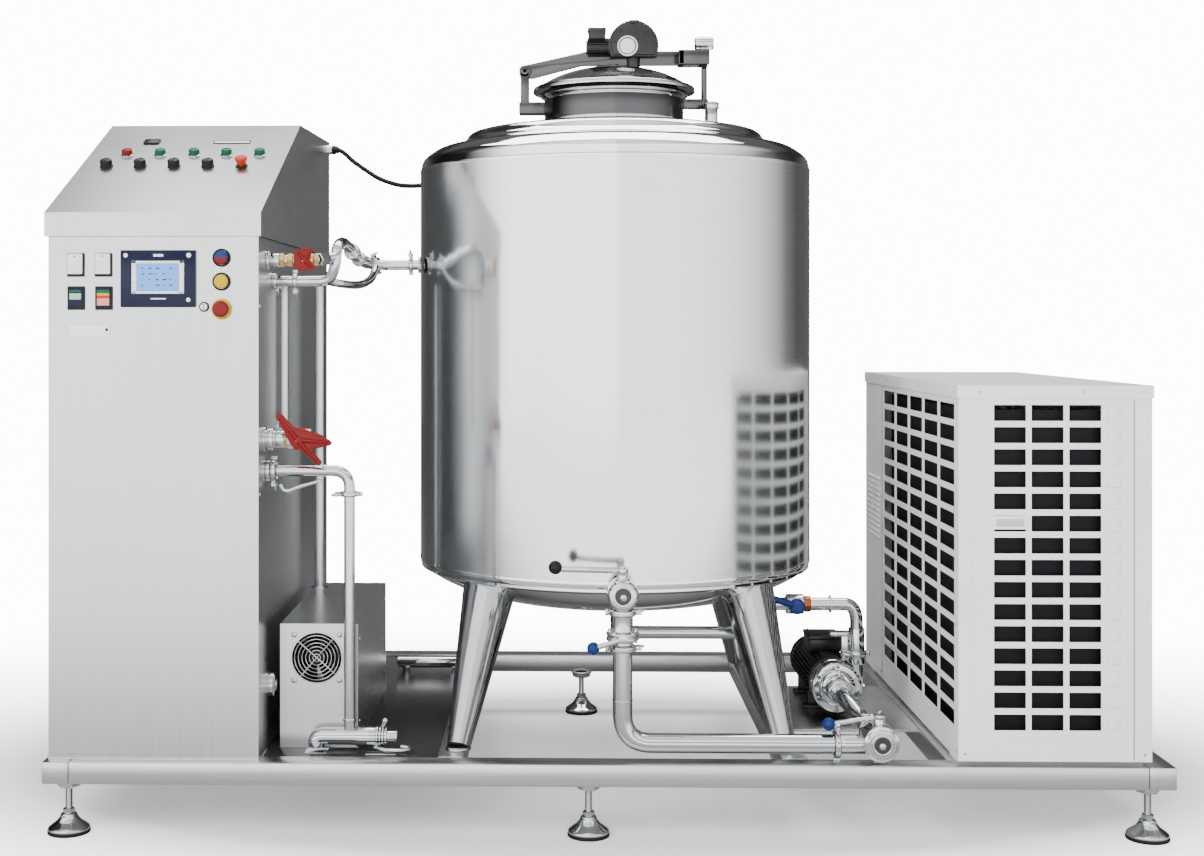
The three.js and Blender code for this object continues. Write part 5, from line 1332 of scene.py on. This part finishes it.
def make_buttons(m):
    """The two-colour and yellow buttons, the emergency stop and the key switch."""
    rings = Shape()
    for name, x, z, colour in (("two_colour_button", -0.852, 1.288, "blue_plastic"),
                               ("yellow_button", -0.852, 1.235, "yellow_plastic")):
        at = on_front(x, z)
        rings.turned([(0.0165, 0.0003), (0.0205, 0.0003), (0.0203, 0.0040), (0.0180, 0.0058),
                      (0.0165, 0.0052), (0.0165, 0.0003)], at, 48)
        cap = rounded([(0, 0.0042), (0.0158, 0.0042), (0.0158, 0.0105), (0.0130, 0.0122), (0, 0.0130)], 0.002,
                      3)
        if name == "yellow_button":
            button = Shape().turned(cap, at, 48)
            button.piece("yellow_button_cap", m[colour], name, colour, (name,))
            continue
        for half, paint, turn in (("blue", "blue_plastic", 0.0), ("red", "red_plastic", math.pi)):
            button = half_turned(cap, at @ Matrix.Rotation(turn, 4, "Z"))
            stands_for = (name,) if half == "blue" else ()
            button.piece(f"two_colour_{half}_half", m[paint], name, paint, stands_for)
    at = on_front(-0.852, 1.174)
    rings.piece("button_rings", m["black_plastic"], slot="black_plastic")
    collar = Shape().turned([(0.0090, 0.0003), (0.0235, 0.0003), (0.0232, 0.0024), (0.0205, 0.0035),
                             (0.0090, 0.0035), (0.0090, 0.0003)], at, 56)
    collar.piece("emergency_collar", m["yellow_plastic"], slot="yellow_plastic")
    cap = rounded([(0, 0.0088), (0.0155, 0.0088), (0.0182, 0.0110), (0.0182, 0.0155), (0.0150, 0.0182),
                   (0, 0.0190)],
                  0.003, 4)
    stop = Shape().turned(cap, at, 56)
    stop.rod(at @ Vector((0, 0, 0.0005)), at @ Vector((0, 0, 0.0080)), 0.0070)
    stop.piece("emergency_cap", m["red_plastic"], "emergency_stop", "red_plastic", ("emergency_stop",))
    at = on_front(-0.891, 1.179)
    lock = Shape()
    lock.turned(rounded([(0, 0.0012), (0.0092, 0.0012), (0.0095, 0.0030), (0.0080, 0.0068), (0, 0.0070)],
                        0.001, 3), at, 40)
    lock.box((-0.0013, -0.0065, 0.0065), (0.0013, 0.0065, 0.0175), 0.0006, at)
    lock.piece("key_and_barrel", m["polished"], "key_switch", "polished_steel", ("key_switch",))
    surround = Shape().turned([(0.0097, 0.0003), (0.0118, 0.0003), (0.0114, 0.0026), (0.0099, 0.0030),
                               (0.0097, 0.0003)], at, 40)
    surround.piece("key_surround", m["black_plastic"], slot="black_plastic")


def half_turned(outline, place):
    """Half of a turned shape, closed by a flat wall through its middle."""
    part = bmesh.new()
    sides = 24
    turns = [math.pi * step / sides for step in range(sides + 1)]
    rings = [[part.verts.new((radius * math.cos(t), radius * math.sin(t), height)) for t in turns]
             for radius, height in ((max(r, 0.00001), h) for r, h in outline)]
    for lower, upper in zip(rings, rings[1:]):
        for i in range(sides):
            part.faces.new((lower[i], lower[i + 1], upper[i + 1], upper[i]))
    part.faces.new([ring[0] for ring in rings] + [ring[-1] for ring in reversed(rings)])
    bmesh.ops.remove_doubles(part, verts=part.verts, dist=0.00003)
    return Shape().take(part, place)


# ------------------------------------------------------------- pipes between cabinet and tank
def make_inlet(m):
    """The inlet pipes beside the cabinet with their clamps, unions and brass valve."""
    start = CABINET_RIGHT + GAP
    lines = Shape()
    lines.tube(smooth_path([(start, -0.500, 1.287), (-0.720, -0.500, 1.287), (-0.665, -0.490, 1.288),
                            (-0.623, -0.440, 1.298)]), 0.0118, 28)
    hoop = [(start, -0.420, 1.242), (-0.690, -0.420, 1.241), (-0.640, -0.425, 1.246), (-0.622, -0.438, 1.280),
            (-0.619, -0.430, 1.316), (-0.614, -0.380, 1.333), (-0.607, -0.300, 1.325),
            (-0.600, -0.225, 1.308), (-0.585, -0.160, 1.294), (-0.545, -0.125, 1.290),
            (-0.490, -0.125, 1.290), (-0.452, -0.125, 1.290)]
    lines.tube(smooth_path(hoop), 0.0130, 32)
    bypass = [(-0.650, -0.424, 1.243), (-0.615, -0.380, 1.236), (-0.585, -0.290, 1.236),
              (-0.566, -0.210, 1.252), (-0.560, -0.150, 1.282)]
    lines.tube(smooth_path(bypass), 0.0098, 28)
    lines.rod((start, -0.500, 1.287), (-0.7625, -0.500, 1.287), 0.0225, edge=0.0015)
    lines.rod((-0.7625, -0.500, 1.287), (-0.7405, -0.500, 1.287), 0.0165, edge=0.0015)
    lines.rod((start, -0.420, 1.242), (-0.761, -0.420, 1.242), 0.0195, edge=0.0015)
    lines.piece("inlet_tubes", m["polished"], slot="polished_steel", replaces=("inlet_pipe",), sharp=40)
    joints = Shape()
    pipe_clamp(joints, (-0.718, -0.420, 1.2415), (1, 0, 0), 0.0185, -90, 0.010)
    pipe_clamp(joints, (-0.561, -0.133, 1.2905), (1, -0.6, 0), 0.0195, 120, 0.010)
    pipe_clamp(joints, (-0.474, -0.125, 1.2900), (1, 0, 0), 0.0185, 90, 0.009)
    union(joints, (-0.6045, -0.265, 1.3170), (0.09, 1, -0.2), 0.0200, 0.016)
    union(joints, (-0.5960, -0.200, 1.3020), (0.25, 1, -0.2), 0.0190, 0.010)
    joints.ring((-0.4560, -0.125, 1.290), (-0.4500, -0.125, 1.290), 0.0115, 0.0205)
    hex_nut(joints, (-0.655, -0.488, 1.2885), (-0.638, -0.463, 1.2925), 0.029, 0.0116)
    joints.piece("inlet_clamps_and_unions", m["polished"], slot="polished_steel")
    fittings = Shape()
    hex_nut(fittings, (-0.7405, -0.500, 1.287), (-0.7285, -0.500, 1.287), 0.031)
    fittings.rod((-0.7285, -0.500, 1.287), (-0.7215, -0.500, 1.287), 0.0125)
    hex_nut(fittings, (-0.7215, -0.500, 1.287), (-0.7095, -0.500, 1.287), 0.029)
    fittings.rod((-0.7100, -0.500, 1.287), (-0.6630, -0.500, 1.287), 0.0158, edge=0.004)
    fittings.rod((-0.680, -0.500, 1.287), (-0.680, -0.5225, 1.287), 0.0058)
    hex_nut(fittings, (-0.6660, -0.4925, 1.2880), (-0.6560, -0.489, 1.2885), 0.027)
    fittings.piece("inlet_brass_valve", m["brass"], slot="polished_steel")


def winged_handle(name, node, x, z, stem_end, outline, tips, hub, material):
    """A flat winged handle with a rib along each wing and a nut on its stem."""
    handle = Shape()
    face, thickness = stem_end - GAP, 0.007
    handle.rod((x, face, z), (x, face - 0.0088, z), hub, edge=0.0015)
    place = Matrix.Translation((x, face - 0.009 + thickness, z)) @ spin(90, "X")
    corners = rounded([*outline, outline[0], outline[1]], 0.006, 4)
    handle.plate([(corner[0], corner[1]) for corner in corners[1:-1]], thickness, place, 0.0016)
    for tip in tips:
        end = (x + tip[0], face - 0.0085, z + tip[1])
        handle.rod((x, face - 0.0080, z), end, 0.0062, 0.0030, 0.001, 16)
    handle.piece(name, material, node, "red_plastic", (node,))
    nut = Shape()
    hex_nut(nut, (x, face - 0.0088, z), (x, face - 0.0122, z), 0.010)
    nut.piece(f"{name}_nut", bpy.data.materials["polished"], node, "polished_steel")


def make_wings(m):
    """Both red handles and the middle valve under the lower one."""
    inlet = [(-0.024, 0.016), (-0.012, 0.025), (0.022, 0.027), (0.012, 0.0), (0.028, -0.020), (0.010, -0.024),
             (-0.010, -0.026), (-0.024, -0.014)]
    middle = [(-0.052, 0.057), (-0.038, 0.060), (-0.008, 0.028), (0.022, 0.022), (0.052, 0.012),
              (0.078, -0.004), (0.076, -0.012), (0.040, -0.020), (0.030, -0.022), (0.056, -0.050),
              (0.048, -0.060), (0.020, -0.034), (0.004, -0.022), (-0.014, -0.014), (-0.026, 0.008)]
    winged_handle("inlet_red_handle", "inlet_valve_handle", -0.680, 1.287, -0.523, inlet,
                  [(-0.014, 0.016), (0.015, 0.019), (0.018, -0.017)], 0.011, m["red_plastic"])
    winged_handle("middle_red_handle", "mid_valve_handle", -0.690, 0.880, -0.552, middle,
                  [(-0.042, 0.052), (0.068, -0.006), (0.046, -0.050)], 0.014, m["red_plastic"])
    collar = Shape()
    y, z = -0.525, 0.880
    collar.ring((CABINET_RIGHT, y, z), (CABINET_RIGHT + 0.004, y, z), 0.0190, 0.0300)
    union(collar, (-0.7560, y, z), (1, 0, 0), 0.0265, 0.014)
    collar.rod((-0.7440, y, z), (-0.7240, y, z), 0.0210, edge=0.002)
    collar.piece("middle_valve_collar", m["polished"], slot="polished_steel")
    body = Shape()
    outline = rounded([(0, 0), (0.018, 0), (0.0245, 0.012), (0.0248, 0.040), (0.018, 0.053), (0, 0.053)],
                      0.006, 4)
    body.turned(outline, aim((-0.7165, y, z), (-0.6, y, z)), 44)
    body.rod((-0.690, y, z), (-0.690, -0.5515, z), 0.0130, edge=0.002)
    body.piece("middle_valve_body", m["orange_paint"], slot="red_plastic")
    gland = Shape()
    hex_nut(gland, (-0.7245, y, z), (-0.7160, y, z), 0.040)
    gland.ring((-0.690, -0.5465, z), (-0.690, -0.5510, z), 0.0075, 0.0155)
    gland.piece("middle_valve_brass", m["brass"], slot="polished_steel")


def make_drain(m):
    """The drain pipe down to its coupling on the deck."""
    y, z, x = -0.505, 0.806, -0.580
    pipe = Shape()
    run = [(CABINET_RIGHT + GAP, y, z), (x, y, z), (x, y, 0.200)]
    pipe.tube(rounded(run, 0.040, 14), 0.0129, 32)
    pipe.rod((CABINET_RIGHT + GAP, y, z), (-0.7605, y, z), 0.0255, edge=0.0015)
    pipe.ring((-0.640, y, z), (-0.634, y, z), 0.0125, 0.0150)
    pipe.piece("drain_tube", m["polished"], slot="polished_steel", replaces=("drain_pipe",), sharp=40)
    joints = Shape()
    pipe_clamp(joints, (-0.7530, y, z), (1, 0, 0), 0.0255, -100, 0.012)
    pipe_clamp(joints, (x, y, 0.753), (0, 0, 1), 0.0230, 5, 0.009)
    joints.ring((x, y, 0.7475), (x, y, 0.7585), 0.0125, 0.0215)
    joints.tube(smooth_path([(-0.735, y - 0.020, 0.775), (-0.722, y - 0.024, 0.762),
                             (-0.690, y - 0.022, 0.772), (-0.640, y - 0.018, 0.786)], 5), 0.0052, 16, 0.0035)
    joints.ring((x, y, 0.236), (x, y, 0.242), 0.0125, 0.0155)
    joints.piece("drain_clamps_and_lever", m["polished"], slot="polished_steel")
    foot = Shape()
    bend = rounded([(-0.655, y, 0.178), (-0.655, y, 0.2005), (-0.600, y, 0.2005), (-0.560, y, 0.2000)],
                   0.016, 10)
    foot.tube(bend, 0.0195, 36)
    foot.rod((-0.5650, y, 0.200), (-0.5180, y, 0.200), 0.0225, edge=0.003)
    for step in range(4):
        start = -0.5180 + step * 0.0065
        foot.ring((start, y, 0.200), (start + 0.0045, y, 0.200), 0.0160, 0.0245 - 0.0008 * step, 0.0012)
    foot.rod((-0.5190, y, 0.200), (-0.4705, y, 0.200), 0.0135, edge=0.001)
    foot.rod((-0.5050, y, 0.222), (-0.4980, y - 0.010, 0.236), 0.0048)
    foot.ball((-0.4975, y - 0.011, 0.2385), 0.0066)
    foot.box((-0.6800, y - 0.022, DECK_TOP), (-0.6300, y + 0.022, DECK_TOP + 0.0025), 0.0008)
    foot.piece("drain_coupling", m["polished"], slot="polished_steel", sharp=40)
    spare = Shape()
    spare.tube(smooth_path([(-0.520, y - 0.012, 0.178), (-0.490, y - 0.030, 0.1760),
                            (-0.455, y - 0.030, 0.1755),
                            (-0.440, y - 0.010, 0.1755), (-0.462, y + 0.002, 0.1760)], 8), 0.0045, 16)
    spare.box((-0.540, y - 0.035, DECK_TOP), (-0.470, y - 0.012, DECK_TOP + 0.004), 0.001)
    spare.piece("deck_fastening_and_wire", m["polished"], slot="polished_steel")


# ------------------------------------------------------------- fan box
BOX_FRONT, FAN_X, FAN_Z = -0.470, -0.660, 0.372


def make_fan_box(m):
    """The fan box as it is, with a wire guard over the fan."""
    soften_cad("fan_box", m["brushed_along_y"], 0.0018)
    soften_cad("fan_rotor", m["black_plastic"], 0.0006)
    guard = Shape()
    for step in range(1, 7):
        radius = 0.0085 * step
        circle = [(FAN_X + radius * math.cos(t), BOX_FRONT - 0.0030, FAN_Z + radius * math.sin(t))
                  for t in (2 * math.pi * turn / 48 for turn in range(49))]
        guard.tube(circle, 0.0010, 8)
    spoke_reach = 0.0590
    middle = Vector((FAN_X, BOX_FRONT - 0.0018, FAN_Z))
    for turn in (0.72, 0.72 + math.pi / 2):
        spoke = Vector((math.cos(turn), 0, -math.sin(turn))) * spoke_reach
        guard.tube([middle - spoke, middle, middle + spoke], 0.0014, 10)
    guard.turned([(0.0560, -0.0002), (0.0610, -0.0002), (0.0606, 0.0022), (0.0572, 0.0022),
                  (0.0560, -0.0002)],
                 aim((FAN_X, BOX_FRONT, FAN_Z), (FAN_X, BOX_FRONT - 1, FAN_Z)), 64)
    for side_x in (-1, 1):
        for side_z in (-1, 1):
            dome_screw(guard, (FAN_X + side_x * 0.0525, BOX_FRONT, FAN_Z + side_z * 0.0525),
                       (0, -1, 0), 0.0068)
    guard.piece("fan_guard", m["polished"], slot="polished_steel")
    trim = Shape()
    for z in (0.22, 0.41):
        for y in (-0.440, 0.100):
            dome_screw(trim, (-0.565, y, z), (1, 0, 0), 0.0038)
    trim.ring((-0.730, 0.050, 0.4500), (-0.730, 0.050, 0.4530), 0.0142, 0.0230)
    trim.piece("fan_box_screws", m["polished"])


# ------------------------------------------------------------- condensing unit
def make_chiller(m):
    """The condensing unit: its sheets as they are, with screws, seams and pressings."""
    for node in ("chiller_frame", "chiller_top", "chiller_front_grille", "chiller_side_grille"):
        soften_cad(node, m["white_enamel"], 0.0016 if node in ("chiller_frame", "chiller_top") else 0.0007)
    soften_cad("chiller_coil", m["coil"], 0.0005)
    soften_cad("compressor", m["black_enamel"], 0.002)
    soften_cad("chiller_fan", m["black_plastic"], 0.0008)
    left, right, front, back, low, high = 0.775, 1.197, -0.620, 0.450, 0.181, 1.006
    screws = Shape()
    for x in (left + 0.045, (left + right) / 2 + 0.06, right - 0.020):
        dome_screw(screws, (x, front - 0.0032, high - 0.014), (0, -1, 0), 0.0030)
    for y in (front + 0.030, -0.250, 0.130, back - 0.030):
        dome_screw(screws, (left - 0.0033, y, high - 0.014), (-1, 0, 0), 0.0034)
    for x in (left + 0.014, right - 0.016):
        dome_screw(screws, (x, front, low + 0.016), (0, -1, 0), 0.0034)
    for y, z in ((front + 0.014, low + 0.020), (front + 0.014, 0.480), (0.225, low + 0.020),
                 (back - 0.020, low + 0.020)):
        dome_screw(screws, (left, y, z), (-1, 0, 0), 0.0034)
    screws.piece("chiller_screws", m["polished"])
    seams = Shape()
    seams.box((1.1565, front - 0.0006, low + 0.004), (1.1580, front + 0.0004, high - 0.032), 0)
    seams.box((left - 0.0006, 0.2165, low + 0.004), (left + 0.0004, 0.2180, high - 0.032), 0)
    seams.piece("chiller_seams", m["black_rubber"], slot="rubber")
    ribs = Shape()
    for row in range(15):
        z = 0.249 + row * 0.0485
        ribs.box((1.099, front - 0.0026, z), (1.127, front + 0.001, z + 0.033), 0.0024)
    for row in range(12):
        z = 0.560 + row * 0.0145
        for y in (0.255, 0.345):
            slant = Matrix.Translation((left, y, z)) @ spin(-22, "Y")
            ribs.box((-0.0042, 0.0, -0.0028), (0.0030, 0.070, 0.0030), 0.0012, slant)
    ribs.box((0.850, front - 0.0016, 0.690), (0.924, front + 0.0026, 0.7195), 0.0012)
    ribs.piece("chiller_pressings", m["white_enamel"], slot="brushed_steel")
    grip = Shape()
    # a grey strip on the handle pressing: painted shade in the handle recess
    grip.box((0.857, front - 0.0026, 0.6965), (0.917, front - 0.0012, 0.7130), 0.0006)
    grip.piece("handle_recess_painted_shade", m["grey_enamel"], slot="grey_paint")


# ------------------------------------------------------------- rear panels, insulation and the cable
def make_rear(m):
    """Plain service panels on the back and right of the cabinet and the condensing unit."""
    back, left, right = 0.4553, -1.214, -0.796
    door = Shape()
    door.box((left, back, 0.214), (right, back + 0.0025, 1.292), 0.0012)
    for row in range(9):
        low = 0.300 + row * 0.020
        door.box((-1.090, back + 0.0015, low), (-0.920, back + 0.0075, low + 0.011), 0.0028)
    door.piece("rear_door", m["brushed_upright"], slot="brushed_steel")
    fittings = Shape()
    for z in (0.340, 0.750, 1.160):
        fittings.rod((left - 0.004, back + 0.004, z - 0.028), (left - 0.004, back + 0.004, z + 0.028), 0.0055,
                     edge=0.001)
    for z in (0.500, 1.020):
        fittings.rod((right - 0.030, back + 0.002, z), (right - 0.030, back + 0.0075, z), 0.0125, edge=0.0015)
        fittings.box((right - 0.0375, back + 0.0070, z - 0.0012), (right - 0.0225, back + 0.0085, z + 0.0012),
                     0.0003)
    fittings.piece("rear_door_hinges_and_locks", m["polished"], slot="polished_steel")
    unit_back, unit_right = 0.4505, 1.1972
    panel = Shape()
    panel.box((0.806, unit_back, 0.226), (1.166, unit_back + 0.0022, 0.962), 0.0010)
    for row in range(14):
        low = 0.300 + row * 0.019
        panel.box((0.870, unit_back + 0.0012, low), (1.100, unit_back + 0.0070, low + 0.010), 0.0026)
    panel.box((unit_right, -0.585, 0.226), (unit_right + 0.0022, 0.415, 0.962), 0.0010)
    panel.piece("unit_service_panels", m["white_enamel"], slot="grey_paint")
    screws = Shape()
    for z in (0.240, 0.590, 0.948):
        for x in (0.820, 1.152):
            dome_screw(screws, (x, unit_back + 0.0022, z), (0, 1, 0), 0.0036)
        for y in (-0.570, -0.085, 0.400):
            dome_screw(screws, (unit_right + 0.0022, y, z), (1, 0, 0), 0.0036)
    screws.piece("unit_panel_screws", m["polished"], slot="polished_steel")


def make_insulation(m):
    """The foam between jacket and vessel."""
    soften_cad("insulation", m["foam"], 0.001)


CABLE_DIAMETER, CABLE_LENGTH = 0.013, 0.395


def make_cable(m):
    """The cable between the hood and the tank, with a gland at each end."""
    run = [(-0.7424, 0.415, 1.639), (-0.730, 0.415, 1.639), (-0.712, 0.412, 1.628), (-0.689, 0.408, 1.607),
           (-0.650, 0.397, 1.579), (-0.614, 0.383, 1.556), (-0.578, 0.366, 1.541), (-0.545, 0.349, 1.532),
           (-0.510, 0.331, 1.529), (-0.475, 0.313, 1.530), (-0.435, 0.291, 1.533), (-0.4142, 0.2783, 1.533)]
    path = smooth_path(run, 6)
    sheath = Shape().tube(path, CABLE_DIAMETER / 2, 20)
    sheath = sheath.piece("cable_sheath", m["black_rubber"], slot="rubber", replaces=("power_cable",))
    glands = Shape()
    for start, way in ((Vector(run[0]), Vector((-1, 0, 0))),
                       (Vector(run[-1]), Vector((1, -0.6, 0)).normalized())):
        hex_nut(glands, start - way * 0.004, start + way * 0.008, 0.024, 0.0068)
        glands.ring(start - way * 0.012, start - way * 0.003, 0.0066, 0.0100, 0.0015)
    glands = glands.piece("cable_glands", m["black_plastic"], slot="black_plastic")


# ------------------------------------------------------------- everything
def make_everything():
    """Camera, finishes, cable, studio, then every piece of the machine."""
    make_camera()
    m = make_materials()
    make_cable(m)
    make_studio()
    for build in (
        make_skid, make_feet, make_deck,
        make_jacket, make_vessel, make_legs,
        make_seal, make_lid, make_arm, make_bolt, make_drive, make_agitator,
        make_outlet, make_butterfly, make_outlet_pipe, make_pump_valve, make_pump, make_motor, make_return,
        make_cabinet, make_selectors, make_lamps, make_panel, make_modules, make_buttons,
        make_inlet, make_wings, make_drain, make_fan_box, make_chiller, make_rear, make_insulation,
    ):
        build(m)


make_everything()
